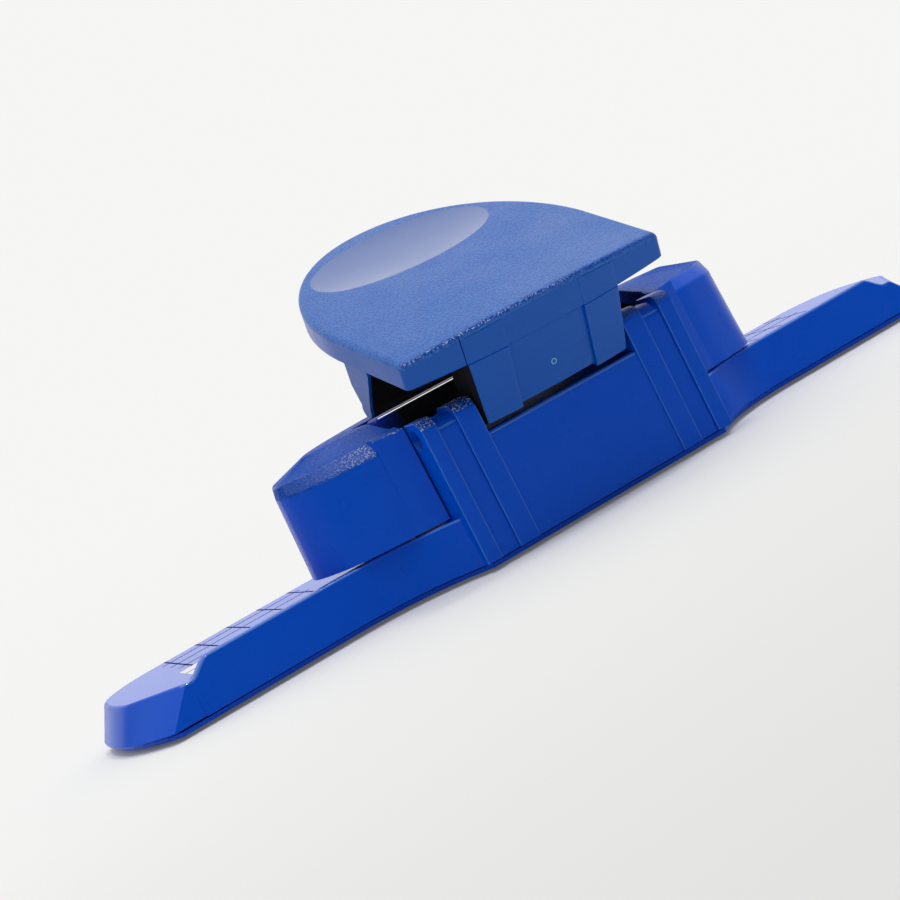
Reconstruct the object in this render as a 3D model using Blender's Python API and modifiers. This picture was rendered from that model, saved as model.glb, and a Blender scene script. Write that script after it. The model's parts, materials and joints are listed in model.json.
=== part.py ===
"""Paper edge punch: a blue desk punch that cuts a scalloped border along the edge of a sheet.

The paper slides under the D-shaped housing until its edge meets the low fence at the back. Pressing the lever
drives a comb of steel teeth down through the paper and the die, and two coil springs lift everything again.

Places are given by x (along the punch), depth (forward from the back face of the rear frame) and height (above
the underside of the cover). The front, where the user sits, is at -Y.
"""
import math

import bmesh
import bpy
from mathutils import Matrix, Vector

MM = 0.001

# Clearances that many pieces share
SEAT_GAP = 0.3 * MM
OVERRUN = 1.0 * MM
LAP = 0.5 * MM
WELD_SHARE = 0.0005
MERGE_DISTANCE = 0.01 * MM
ROUND_MIDDLE_SHARE = 0.3
ROUND_SEGMENTS = 2
SHARP_ANGLE = 30.0
BOX_EDGE_ANGLE = 40.0

# Base tray and its wings
SEAM_HEIGHT = 1.0 * MM
TABLE_HEIGHT = 7.05 * MM
TABLE_SKIN = 3.1 * MM
TRAY_FRONT = 50.5 * MM
TRAY_WALL = 2.6 * MM
TRAY_EDGE_ROUND = 0.4 * MM
TIP_REACH = 86.7 * MM
TIP_RADIUS = 41.0 * MM
TIP_DEPTH = 34.0 * MM
TIP_BACK_FOOT = 11.5 * MM
TIP_FRONT_FOOT = 39.5 * MM
TIP_CORNER_LENGTH = 14.0 * MM
TIP_TOP_SETBACK = 3.2 * MM
TIP_TOP_START_SETBACK = 12.1 * MM
TIP_TOP_START_DEPTH = 12.4 * MM
TIP_TOP_BEND_DEPTH = 24.9 * MM
TIP_DIAGONAL_STEPS = 4
TIP_ARC_STEPS = 5
TIP_CORNER_STEPS = 5

# Back wall, which is the paper fence, and its ramps down to the table
WALL_DEPTH = 12.2 * MM
WALL_DRAFT = 0.8 * MM
WALL_COVERS_WING = 0.1 * MM
WALL_EDGE_ROUND = 0.5 * MM
WALL_INNER_ROUND = 0.3 * MM
FENCE_DEPTH = 14.2 * MM
FENCE_HEIGHT = 9.5 * MM
RAMP_END_SETBACK = 12.7 * MM
RAMP_LENGTH = 4.5 * MM
RAMP_SINK = 0.05 * MM
RAMP_STEPS = 6
COVE_RADIUS = 26.4 * MM
COVE_END_X = 46.0 * MM
COVE_STEPS = 8

# Rear frame: a low panel between two ribbed pillars
PILLAR_INNER_SHARE = 15.0 / 45.9
INNER_RIB_WIDTH = 4.0 * MM
OUTER_RIB_WIDTH = 2.9 * MM
RECESS_WIDTH = 3.5 * MM
PILLAR_HEIGHT = 26.5 * MM
PILLAR_ROUND = 2.2 * MM
PILLAR_TOP_DEPTH = 6.2 * MM
PILLAR_FOOT_DEPTH = 9.0 * MM
PILLAR_FOOT_HEIGHT = 8.0 * MM
RECESS_SETBACK = 0.5 * MM
RECESS_DROP = 0.7 * MM
RECESS_ROUND = 2.8 * MM
PANEL_SETBACK = 0.3 * MM
PANEL_HEIGHT = 19.7 * MM
PANEL_ROUND = 0.8 * MM
PANEL_THICKNESS = 2.6 * MM
FRAME_HOLLOW_SIDE = 1.5 * MM
PILLAR_ROUND_STEPS = 4

# Hinge
HINGE_DEPTH = 3.9 * MM
HINGE_HEIGHT = 23.6 * MM
PIN_RADIUS = 1.5 * MM
PIN_END_INSET = 1.2 * MM
PIN_CHAMFER = 0.3 * MM
REST_PITCH = 23.1

# Bottom cover and feet
COVER_INSET = 1.2 * MM
COVER_EDGE_THICKNESS = 0.7 * MM
COVER_STEP_THICKNESS = 1.6 * MM
COVER_STEP_GAP = 0.6 * MM
FOOT_RADIUS = 5.0 * MM
FOOT_PROUD = 0.6 * MM
FOOT_SUNK = 0.1 * MM
FOOT_ROUND = 0.2 * MM
FOOT_SETBACK = 17.7 * MM
FOOT_DEPTHS = (22.0 * MM, 43.0 * MM)

# Cutting pattern: a row of scallops along the paper's edge, then round holes with small diamonds between
SCALLOP_COUNT = 5
SCALLOP_PITCH_SHARE = 8.0 / 45.9
SCALLOP_BACK = 16.6 * MM
SCALLOP_WAIST = 18.6 * MM
SCALLOP_BULGE = 2.6 * MM
SCALLOP_STEPS = 4
DOT_RADIUS = 1.5 * MM
DOT_DEPTH = 25.0 * MM
DOT_SIDES = 10
DIAMOND_RADIUS = 1.1 * MM
DIAMOND_DEPTH = 22.0 * MM
DIAMOND_CLEARANCE_SHARE = 1.5
CUT_CLEARANCE = 0.3 * MM

# Die, stripper plate and chip opening
DIE_SIDE = 5.7 * MM
DIE_BACK = 15.1 * MM
DIE_FRONT = 30.9 * MM
DIE_THICKNESS = 1.3 * MM
CHIP_SIDE = 1.4 * MM
CHIP_BACK = 15.9 * MM
CHIP_FRONT = 28.0 * MM
STRIPPER_SIDE = 5.5 * MM
STRIPPER_BACK = 14.9 * MM
STRIPPER_FRONT = 28.9 * MM
STRIPPER_THICKNESS = 1.2 * MM

# Housing
SLOT_TOP = 10.2 * MM
HOUSING_HALF_WIDTH = 45.9 * MM
HOUSING_BACK = 5.2 * MM
HOUSING_BACK_SHARES = ((26.5 / 45.9, 0.0), (30.0 / 45.9, 1.6 / 5.8), (34.0 / 45.9, 2.8 / 5.8),
                       (38.0 / 45.9, 4.5 / 5.8), (40.5 / 45.9, 1.0))
HOUSING_SHOULDER = 5.8 * MM
HOUSING_MIDDLE = 20.5 * MM
HOUSING_NOSE = 28.5 * MM
HOUSING_CORNER_SHARES = ((0.924, 0.2), (0.961, 0.49), (0.987, 0.76))
HOUSING_CHAMFER_HEIGHT = 24.5 * MM
HOUSING_SHOULDER_HEIGHT = 26.7 * MM
HOUSING_TOP = 28.9 * MM
HOUSING_DRAFT = 1.0 * MM
HOUSING_SHOULDER_INSET = 1.5 * MM
HOUSING_PLATEAU_INSET = 8.2 * MM
HOUSING_BACK_DRAFT = 0.5 * MM
HOUSING_CHAMFER_BACK = 3.0 * MM
HOUSING_PLATEAU_BACK = 11.0 * MM
HOUSING_WALL = 2.0 * MM
HOUSING_EDGE_ROUND = 0.7 * MM
HOUSING_EDGE_ANGLE = 24.0
HOUSING_NOSE_STEPS = 14
WELL_SIDE_GAP = 1.1 * MM
WELL_FRONT = 27.0 * MM
WELL_FLOOR = 9.0 * MM

# Housing floor, which carries the stripper plate, the posts and the springs
FLOOR_BOTTOM = 10.4 * MM
FLOOR_THICKNESS = 3.0 * MM
FLOOR_BACK = 14.6 * MM
FLOOR_SIDE_DEPTH = 19.0 * MM

# Guide posts and return springs
POST_SHARE = 30.0 / 45.9
POST_DEPTH = 21.0 * MM
POST_RADIUS = 2.0 * MM
POST_TOP = 25.6 * MM
POST_CHAMFER = 0.4 * MM
SPRING_WIRE = 0.4 * MM
SPRING_RADIUS = 3.1 * MM
SPRING_POCKET_RADIUS = 3.9 * MM
SPRING_SEAT_SUNK = 1.4 * MM
SPRING_TURNS = 4
SPRING_POINTS = 8
SPRING_WIRE_STEPS = 1

# Carrier, blades and pressure bar
CARRIER_BOTTOM = 20.6 * MM
CARRIER_THICKNESS = 4.4 * MM
CARRIER_END = 4.4 * MM
CARRIER_SIDE = 5.0 * MM
CARRIER_ROUND = 0.6 * MM
CARRIER_POCKET = 3.0 * MM
BLADE_TIP = 10.7 * MM
BLADE_PLATE = 1.4 * MM
BLADE_PLATE_SIDE = 0.4 * MM
BAR_SIDE_REACH = 5.0 * MM
BAR_SIDE = 2.6 * MM
BAR_DEPTH = 20.3 * MM
BAR_TOP = 29.0 * MM

# Lever, in its own frame: reach forward from the hinge axis and rise above it, with the top level
LEVER_BACK = 3.6 * MM
LEVER_BOW = 2.4 * MM
LEVER_BACK_PAST_PILLAR = 0.2 * MM
LEVER_SIDE_FLARE = 0.7 * MM
LEVER_SHOULDER = 18.7 * MM
LEVER_FRONT = 56.9 * MM
LEVER_TOP = 14.6 * MM
LEVER_CROWN = 1.6 * MM
LEVER_RIM = 4.5 * MM
LEVER_SKIN = 2.0 * MM
LEVER_ROUND = 1.0 * MM
LEVER_RING_SHARES = (0.3, 0.55, 0.8)
LEVER_BACK_STEPS = 6
LEVER_SIDE_STEPS = 3
LEVER_NOSE_STEPS = 14
KNUCKLE_SIDE_GAP = 0.7 * MM
KNUCKLE_DRAFT = 0.8 * MM
KNUCKLE_BOTTOM = -1.4 * MM
KNUCKLE_LEAN = 1.0 * MM
KNUCKLE_FLUSH = 0.1 * MM
KNUCKLE_TOP_FLUSH = 0.3 * MM
KNUCKLE_WALL = 2.2 * MM
KNUCKLE_GROOVE = 0.6 * MM
KNUCKLE_FRONT = 4.4 * MM
EAR_WIDTH = 2.2 * MM
EAR_RADIUS = 3.1 * MM
EAR_START_ANGLE = 205.0
EAR_STEPS = 7
PRESSER_SIDE_GAP = 1.5 * MM
PRESSER_PLATE = 1.8 * MM
PRESSER_FRONT = 20.0 * MM
PRESSER_KNEE = 4.75 * MM
PRESSER_NOSE_REACH = 17.17 * MM
PRESSER_NOSE_RISE = 0.5 * MM
PRESSER_NOSE_RADIUS = 1.5 * MM
PRESSER_NOSE_ANGLES = (35.0, -195.0)
PRESSER_ROOT_SHARE = 1 / 3
PRESSER_STEPS = 5
GUSSET_WIDTH = 1.6 * MM
GUSSET_BACK = 12.0 * MM
GUSSET_RISE = 8.25 * MM
DIMPLE_REACH = 40.0 * MM
DIMPLE_HALF_WIDTH = 18.0 * MM
DIMPLE_HALF_LENGTH = 12.0 * MM
DIMPLE_SINK = 1.1 * MM
DIMPLE_RADIUS_RISE = 5.0 * MM
DIMPLE_SEGMENTS = 28
DIMPLE_RINGS = 14

# Fasteners
SCREW_CLEARANCE = 0.3 * MM
SCREW_TIP_SHARE = 0.6
COVER_SCREW_SETBACK = 26.7 * MM
COVER_SCREW_INNER_X = 38.0 * MM
COVER_SCREW_DEPTHS = (33.0 * MM, 44.4 * MM, 21.5 * MM)
COVER_SCREW = dict(head=2.3 * MM, shank=0.9 * MM, low=0.1 * MM, thick=0.5 * MM, length=4.0 * MM)
COVER_BOSS_RADIUS = 2.6 * MM
HOUSING_SCREW_SHARE = 31.0 / 45.9
HOUSING_SCREW_DEPTH = 10.9 * MM
HOUSING_SCREW = dict(head=2.3 * MM, shank=1.0 * MM, low=2.2 * MM, thick=1.4 * MM, length=12.0 * MM)
HOUSING_BOSS_RADIUS = 2.4 * MM
SEAT_BOSS_SINK = 3.8 * MM
FLOOR_BOSS_SINK = 1.8 * MM
FLOOR_SCREW_SHARES = (39.0 / 45.9, 25.0 / 45.9)
FLOOR_SCREW_NOSE_SHARES = (0.05, 0.58)
FLOOR_SCREW = dict(head=1.9 * MM, shank=0.8 * MM, low=10.8 * MM, thick=0.6 * MM, length=6.0 * MM)
DIE_SCREW_SIDE = 3.7 * MM
DIE_SCREW_DEPTHS = (17.4 * MM, 28.6 * MM)
DIE_SCREW = dict(head=1.3 * MM, shank=0.7 * MM, low=6.95 * MM, thick=0.6 * MM, length=2.0 * MM)
SCREW_STEPS = 8
BORE_SIDES = 12
ROUND_SIDES = 16

# Worked out from the sizes above
TIP_TOP_START_X = TIP_REACH - TIP_TOP_START_SETBACK
RAMP_END_X = TIP_REACH - RAMP_END_SETBACK
FENCE_END_X = RAMP_END_X - RAMP_LENGTH
FOOT_X = TIP_REACH - FOOT_SETBACK
PILLAR_INNER_X = HOUSING_HALF_WIDTH * PILLAR_INNER_SHARE
RECESS_BACK_X = PILLAR_INNER_X + INNER_RIB_WIDTH
RECESS_FRONT_X = RECESS_BACK_X + RECESS_WIDTH
PILLAR_OUTER_X = RECESS_FRONT_X + OUTER_RIB_WIDTH
SCALLOP_PITCH = HOUSING_HALF_WIDTH * SCALLOP_PITCH_SHARE
POST_X = HOUSING_HALF_WIDTH * POST_SHARE
BORE_RADIUS = PIN_RADIUS + SEAT_GAP
PATTERN_HALF = SCALLOP_COUNT * SCALLOP_PITCH / 2
CHIP_HALF_LENGTH = PATTERN_HALF + CHIP_SIDE
DIE_HALF_LENGTH = PATTERN_HALF + DIE_SIDE
STRIPPER_HALF_LENGTH = PATTERN_HALF + STRIPPER_SIDE
BAR_HALF_LENGTH = PATTERN_HALF + BAR_SIDE_REACH
DIE_SCREW_X = PATTERN_HALF + DIE_SCREW_SIDE
CAVITY_TOP = TABLE_HEIGHT - TABLE_SKIN
DIE_BOTTOM = TABLE_HEIGHT - DIE_THICKNESS
FLOOR_TOP = FLOOR_BOTTOM + FLOOR_THICKNESS
WELL_HALF = PILLAR_OUTER_X + WELL_SIDE_GAP
PRESSER_HALF = WELL_HALF - PRESSER_SIDE_GAP
LEVER_BACK_HALF = PILLAR_OUTER_X + LEVER_BACK_PAST_PILLAR
LEVER_HALF = LEVER_BACK_HALF + LEVER_SIDE_FLARE
KNUCKLE_HALF_BOTTOM = PILLAR_INNER_X - KNUCKLE_SIDE_GAP
KNUCKLE_HALF_TOP = KNUCKLE_HALF_BOTTOM + KNUCKLE_DRAFT
KNUCKLE_GROOVE_HALF = PILLAR_INNER_X / 2
CARRIER_TOP = CARRIER_BOTTOM + CARRIER_THICKNESS
LEVER_RISE_SINE = math.sin(math.radians(REST_PITCH))
LEVER_RISE_COSINE = math.cos(math.radians(REST_PITCH))
LEVER_TAIL_REACH = LEVER_BACK + LEVER_BOW
LEVER_TAIL_RISE = LEVER_TOP + LEVER_CROWN - LEVER_ROUND
LEVER_OVERHANG = LEVER_TAIL_REACH * LEVER_RISE_COSINE + LEVER_TAIL_RISE * LEVER_RISE_SINE - HINGE_DEPTH
LEVER_NOSE_DEPTH = (LEVER_FRONT * LEVER_RISE_COSINE - (LEVER_TOP - LEVER_RIM) * LEVER_RISE_SINE
                    + HINGE_DEPTH)
REAR_Y = (max(TRAY_FRONT, LEVER_NOSE_DEPTH) - LEVER_OVERHANG) / 2
COVER_SCREW_PLACES = list(zip((TIP_REACH - COVER_SCREW_SETBACK, COVER_SCREW_INNER_X, COVER_SCREW_INNER_X),
                              COVER_SCREW_DEPTHS))
HOUSING_SCREW_PLACE = (HOUSING_HALF_WIDTH * HOUSING_SCREW_SHARE, HOUSING_SCREW_DEPTH)
FLOOR_SCREW_PLACES = [(HOUSING_HALF_WIDTH * across, HOUSING_MIDDLE + HOUSING_NOSE * along)
                      for across, along in zip(FLOOR_SCREW_SHARES, FLOOR_SCREW_NOSE_SHARES)]

BLUE = ("blue_plastic", (0.012, 0.045, 0.32, 1.0), 0.38, 0.0)
DARK = ("dark_plastic", (0.03, 0.03, 0.035, 1.0), 0.5, 0.0)
STEEL = ("bright_steel", (0.62, 0.63, 0.65, 1.0), 0.25, 1.0)
ZINC = ("zinc_screw", (0.7, 0.7, 0.68, 1.0), 0.35, 1.0)
RUBBER = ("grey_rubber", (0.09, 0.09, 0.09, 1.0), 0.8, 0.0)

for old in list(bpy.data.objects):
    bpy.data.objects.remove(old)
parts = bpy.data.collections.new("paper_edge_punch")
cutters = bpy.data.collections.new("cutters")
bpy.context.scene.collection.children.link(parts)
bpy.context.scene.collection.children.link(cutters)


def empty(name, parent=None, location=(0, 0, 0), pitch=0.0):
    """An empty that carries pieces, on a joint's axis where they move."""
    holder = bpy.data.objects.new(name, None)
    parts.objects.link(holder)
    holder.parent = parent
    holder.location = location
    holder.rotation_euler = (pitch, 0, 0)
    return holder


def material_of(look):
    """The material with this name, colour, roughness and metallic value, made once."""
    name, colour, roughness, metallic = look
    made = bpy.data.materials.get(name)
    if made is None:
        made = bpy.data.materials.new(name)
        made.use_nodes = True
        shader = made.node_tree.nodes["Principled BSDF"]
        shader.inputs["Base Color"].default_value = colour
        shader.inputs["Roughness"].default_value = roughness
        shader.inputs["Metallic"].default_value = metallic
        made.diffuse_color = colour
    return made


def place(name, mesh, parent, look=None, location=(0, 0, 0)):
    """Put a mesh in the scene: a finished piece where it has a look, and a cutter where it has none."""
    piece = bpy.data.objects.new(name, mesh)
    piece.parent = parent
    piece.location = location
    if look is None:
        cutters.objects.link(piece)
        piece.display_type = "WIRE"
        piece.hide_render = True
    else:
        parts.objects.link(piece)
        mesh.materials.append(material_of(look))
    return piece


def smooth(piece, degrees=SHARP_ANGLE):
    """Shade a piece smooth but for its real edges."""
    piece.data.shade_smooth()
    piece.data.set_sharp_from_angle(angle=math.radians(degrees))
    return piece


def boolean(piece, other, operation):
    """A live Boolean between two pieces."""
    step = piece.modifiers.new(operation.lower() + "_" + other.name, "BOOLEAN")
    step.operation = operation
    step.object = other
    step.solver = "EXACT"


def cut(piece, *others):
    for other in others:
        boolean(piece, other, "DIFFERENCE")


def join(piece, *others):
    for other in others:
        boolean(piece, other, "UNION")


def round_edges(piece, width, segments=ROUND_SEGMENTS, degrees=SHARP_ANGLE):
    """Round every edge that is sharper than an angle."""
    bevel = piece.modifiers.new("rounded_edges", "BEVEL")
    bevel.width = width
    bevel.segments = segments
    bevel.limit_method = "ANGLE"
    bevel.angle_limit = math.radians(degrees)


def mesh_from(bm, name):
    bmesh.ops.recalc_face_normals(bm, faces=bm.faces)
    mesh = bpy.data.meshes.new(name)
    bm.to_mesh(mesh)
    bm.free()
    return mesh


def arc(centre, radius, start, end, steps):
    """Points along an arc, from one angle in degrees to another."""
    points = []
    for step in range(steps + 1):
        angle = math.radians(start + (end - start) * step / steps)
        points.append((centre[0] + radius * math.cos(angle), centre[1] + radius * math.sin(angle)))
    return points


def both_sides(half):
    """A closed loop from its right half, which runs from the back to the front."""
    return half + [(-x, depth) for x, depth in reversed(half) if x > 0]


def solid_outline(name, loop, thickness):
    """One flat loop, filled and extruded by half the thickness each way."""
    bm = bmesh.new()
    face = bm.faces.new([bm.verts.new((across, up, -thickness / 2)) for across, up in loop])
    grown = bmesh.ops.extrude_face_region(bm, geom=[face])["geom"]
    top = [item for item in grown if isinstance(item, bmesh.types.BMVert)]
    bmesh.ops.translate(bm, vec=(0, 0, thickness), verts=top)
    return mesh_from(bm, name)


def holed_outline(name, loops, thickness):
    """A flat loop with loops of holes as a filled 2D curve, extruded by half the thickness each way.

    The curve is drawn in millimetres, because its fill joins points that lie too close in metres.
    """
    curve = bpy.data.curves.new(name, "CURVE")
    curve.dimensions = "2D"
    curve.fill_mode = "BOTH"
    curve.extrude = thickness / 2 / MM
    for loop in loops:
        spline = curve.splines.new("POLY")
        spline.points.add(len(loop) - 1)
        for point, (across, up) in zip(spline.points, loop):
            point.co = (across / MM, up / MM, 0, 1)
        spline.use_cyclic_u = True
    guide = bpy.data.objects.new(name, curve)
    cutters.objects.link(guide)
    bpy.context.view_layer.update()
    evaluated = guide.evaluated_get(bpy.context.evaluated_depsgraph_get())
    bm = bmesh.new()
    filled = bpy.data.meshes.new_from_object(evaluated)
    bm.from_mesh(filled)
    bmesh.ops.remove_doubles(bm, verts=bm.verts, dist=thickness / MM * WELD_SHARE)
    bmesh.ops.scale(bm, vec=(MM, MM, MM), verts=bm.verts)
    bpy.data.objects.remove(guide)
    bpy.data.curves.remove(curve)
    bpy.data.meshes.remove(filled)
    return mesh_from(bm, name)


def plan_prism(name, loops, low, high, parent, look=None):
    """A loop of (x, depth), and any loops of holes in it, standing from one height to another."""
    flat = [[(x, -depth) for x, depth in loop] for loop in loops]
    if len(flat) == 1:
        mesh = solid_outline(name, flat[0], high - low)
    else:
        mesh = holed_outline(name, flat, high - low)
    return place(name, mesh, parent, look, (0, 0, (low + high) / 2))


def side_prism(name, loop, left, right, parent, look=None):
    """A side profile of (depth, height), or of a lever's (reach, rise), from one x to another."""
    mesh = solid_outline(name, loop, right - left)
    mesh.transform(Matrix(((0, 0, -1), (-1, 0, 0), (0, 1, 0))).to_4x4())
    return place(name, mesh, parent, look, ((left + right) / 2, 0, 0))


def box(name, left, right, back, front, low, high, parent, look=None):
    """A box between two x, two depths and two heights."""
    bm = bmesh.new()
    bmesh.ops.create_cube(bm, size=1.0)
    bmesh.ops.scale(bm, vec=(right - left, front - back, high - low), verts=bm.verts)
    middle = ((left + right) / 2, -(back + front) / 2, (low + high) / 2)
    return place(name, mesh_from(bm, name), parent, look, middle)


def rod(name, radius, low, high, parent, look=None, at=(0, 0), sides=BORE_SIDES):
    """An upright round bar at (x, depth)."""
    bm = bmesh.new()
    bmesh.ops.create_cone(bm, cap_ends=True, segments=sides, radius1=radius, radius2=radius, depth=high - low)
    return place(name, mesh_from(bm, name), parent, look, (at[0], -at[1], (low + high) / 2))


def cross_rod(name, radius, half_length, parent, location=(0, 0, 0), sides=BORE_SIDES):
    """A round bar along x."""
    bm = bmesh.new()
    bmesh.ops.create_cone(bm, cap_ends=True, segments=sides, radius1=radius, radius2=radius,
                          depth=half_length * 2)
    bmesh.ops.rotate(bm, matrix=Matrix.Rotation(math.pi / 2, 3, "Y"), verts=bm.verts)
    return place(name, mesh_from(bm, name), parent, None, location)


def loft(name, rings, parent, look=None):
    """Skin rings of points, in order, and cap the first and the last."""
    bm = bmesh.new()
    rows = [[bm.verts.new(point) for point in ring] for ring in rings]
    for below, above in zip(rows, rows[1:]):
        for index in range(len(below)):
            after = (index + 1) % len(below)
            bm.faces.new((below[index], below[after], above[after], above[index]))
    bm.faces.new(rows[-1])
    bm.faces.new(rows[0])
    return place(name, mesh_from(bm, name), parent, look)


def turned(name, profile, parent, look, steps=SCREW_STEPS, location=(0, 0, 0)):
    """A profile of (radius, height), from its top down, spun round the upright axis."""
    mesh = bpy.data.meshes.new(name)
    edges = [(index, index + 1) for index in range(len(profile) - 1)]
    mesh.from_pydata([(radius, 0, height) for radius, height in profile], edges, [])
    piece = place(name, mesh, parent, look, location)
    spin = piece.modifiers.new("spin", "SCREW")
    spin.steps = steps
    spin.render_steps = steps
    spin.use_merge_vertices = True
    spin.merge_threshold = MERGE_DISTANCE
    spin.use_smooth_shade = True
    return piece


# The wings' outline, at the seam and at the table
def tip_reach(depth):
    """How far the rounded tip reaches at a depth."""
    return TIP_REACH - TIP_RADIUS + math.sqrt(TIP_RADIUS ** 2 - (depth - TIP_DEPTH) ** 2)


def tip_rows():
    """Points round one tip, back to front: the foot's outline and the table's, row by row."""
    rows = []
    bend_x = tip_reach(TIP_TOP_BEND_DEPTH) - TIP_TOP_SETBACK
    for step in range(TIP_DIAGONAL_STEPS):
        share = step / TIP_DIAGONAL_STEPS
        depth = TIP_BACK_FOOT + (TIP_TOP_BEND_DEPTH - TIP_BACK_FOOT) * share
        top_x = TIP_TOP_START_X + (bend_x - TIP_TOP_START_X) * share
        top_depth = TIP_TOP_START_DEPTH + (TIP_TOP_BEND_DEPTH - TIP_TOP_START_DEPTH) * share
        rows.append(((tip_reach(depth), depth), (top_x, top_depth)))
    for step in range(TIP_ARC_STEPS):
        depth = TIP_TOP_BEND_DEPTH + (TIP_FRONT_FOOT - TIP_TOP_BEND_DEPTH) * step / TIP_ARC_STEPS
        rows.append(((tip_reach(depth), depth), (tip_reach(depth) - TIP_TOP_SETBACK, depth)))
    start_x = tip_reach(TIP_FRONT_FOOT) - TIP_CORNER_LENGTH
    for along, across in arc((0, 0), 1, 0.0, 90.0, TIP_CORNER_STEPS):
        foot = (start_x + TIP_CORNER_LENGTH * along, TIP_FRONT_FOOT + (TRAY_FRONT - TIP_FRONT_FOOT) * across)
        rows.append((foot, (foot[0] - TIP_TOP_SETBACK * along, foot[1] - TRAY_EDGE_ROUND * across)))
    return rows


def tray_outline(level):
    """The wings' outline at the foot (level 0) or at the table (level 1), behind it hidden in the wall."""
    hidden = WALL_DEPTH + LAP
    half = [(FENCE_END_X, hidden)]
    half.append((RAMP_END_X, (WALL_DEPTH - WALL_DRAFT + WALL_COVERS_WING,
                              WALL_DEPTH + WALL_COVERS_WING)[level]))
    half += [row[level] for row in tip_rows()]
    return both_sides(half)


def wall_stations():
    """Stations along the back wall from the middle to its end: (x, outer depth, top height)."""
    centre = (COVE_END_X, WALL_DEPTH - COVE_RADIUS)
    start = math.degrees(math.acos((PILLAR_OUTER_X - COVE_END_X) / COVE_RADIUS))
    cove = arc(centre, COVE_RADIUS, start, 90.0, COVE_STEPS)
    stations = [(0, cove[0][1], FENCE_HEIGHT)]
    stations += [(x, depth, FENCE_HEIGHT) for x, depth in cove]
    for step in range(RAMP_STEPS + 1):
        share = step / RAMP_STEPS
        fall = share * share * (3 - 2 * share)
        height = FENCE_HEIGHT + (TABLE_HEIGHT - RAMP_SINK - FENCE_HEIGHT) * fall
        stations.append((FENCE_END_X + (RAMP_END_X - FENCE_END_X) * share, WALL_DEPTH, height))
    return stations


def make_back_wall(parent):
    """The wall, swept from one end to the other, with its outer face leaning in towards the top."""
    right = wall_stations()
    stations = [(-x, depth, top) for x, depth, top in reversed(right[1:])] + right
    rings = []
    for x, depth, top in stations:
        profile = [(depth - WALL_DRAFT, SEAM_HEIGHT), (depth, top - WALL_EDGE_ROUND)]
        middle = WALL_EDGE_ROUND * ROUND_MIDDLE_SHARE
        profile += [(depth + middle, top - middle), (depth + WALL_EDGE_ROUND, top)]
        profile += [(FENCE_DEPTH - WALL_INNER_ROUND, top), (FENCE_DEPTH, top - WALL_INNER_ROUND)]
        profile += [(FENCE_DEPTH, SEAM_HEIGHT)]
        rings.append([(x, -place_depth, height) for place_depth, height in profile])
    return loft("back_wall", rings, parent)


def rib_profile(setback, top, radius):
    """Side profile of a rib, with its back top edge rounded."""
    profile = [(setback, SEAM_HEIGHT)]
    profile += arc((setback + radius, top - radius), radius, 180.0, 90.0, PILLAR_ROUND_STEPS)
    profile += [(PILLAR_TOP_DEPTH, top), (PILLAR_FOOT_DEPTH, PILLAR_FOOT_HEIGHT),
                (PILLAR_FOOT_DEPTH, SEAM_HEIGHT)]
    return profile


def make_rear_frame(tray, parent):
    """The panel and the two ribbed pillars, joined to the tray, with the bore for the hinge pin."""
    panel = [(PANEL_SETBACK, SEAM_HEIGHT)]
    panel += arc((PANEL_SETBACK + PANEL_ROUND, PANEL_HEIGHT - PANEL_ROUND), PANEL_ROUND, 180.0, 90.0, 2)
    panel += [(PANEL_SETBACK + PANEL_THICKNESS, PANEL_HEIGHT), (PANEL_SETBACK + PANEL_THICKNESS, SEAM_HEIGHT)]
    reach = PILLAR_INNER_X + LAP
    join(tray, side_prism("panel", panel, -reach, reach, parent))
    for side, sign in (("left", -1), ("right", 1)):
        proud = rib_profile(0.0, PILLAR_HEIGHT, PILLAR_ROUND)
        sunk = rib_profile(RECESS_SETBACK, PILLAR_HEIGHT - RECESS_DROP, RECESS_ROUND)
        ribs = ((PILLAR_INNER_X, RECESS_BACK_X, proud), (RECESS_BACK_X - LAP, RECESS_FRONT_X + LAP, sunk),
                (RECESS_FRONT_X, PILLAR_OUTER_X, proud))
        for number, (near, far, profile) in enumerate(ribs):
            low, high = sorted((near * sign, far * sign))
            rib = side_prism(f"rib_{side}_{number}", profile, low, high, parent)
            if profile is proud:
                round_edges(rib, RECESS_SETBACK / 2, 1, BOX_EDGE_ANGLE)
            join(tray, rib)
    cut(tray, cross_rod("pin_bore", BORE_RADIUS, PILLAR_OUTER_X + OVERRUN, parent,
                        (0, -HINGE_DEPTH, HINGE_HEIGHT)))


def cavity_outline(inset):
    """The hollow under the wings, which the cover's raised step fits with a larger inset."""
    back = FENCE_DEPTH + inset
    front = TRAY_FRONT - inset
    side = TIP_REACH - TIP_TOP_SETBACK - inset * 2
    half = [(TIP_TOP_START_X - inset, back), (side, TIP_TOP_BEND_DEPTH), (side, TIP_FRONT_FOOT)]
    half.append((side - TIP_CORNER_LENGTH, front))
    return both_sides(half)


def mirrored_places(places):
    """Each place and its mirror image, named left and right."""
    named = []
    for number, (x, depth) in enumerate(places, 1):
        named.append((f"left_{number}", -x, depth))
        named.append((f"right_{number}", x, depth))
    return named


def screw_bore(piece, screw, at, name, parent, high):
    """The clearance bore for a screw's shank, up to a height."""
    radius = screw["shank"] + SCREW_CLEARANCE
    cut(piece, rod(name, radius, screw["low"] - OVERRUN, high, parent, at=at, sides=SCREW_STEPS))


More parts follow.
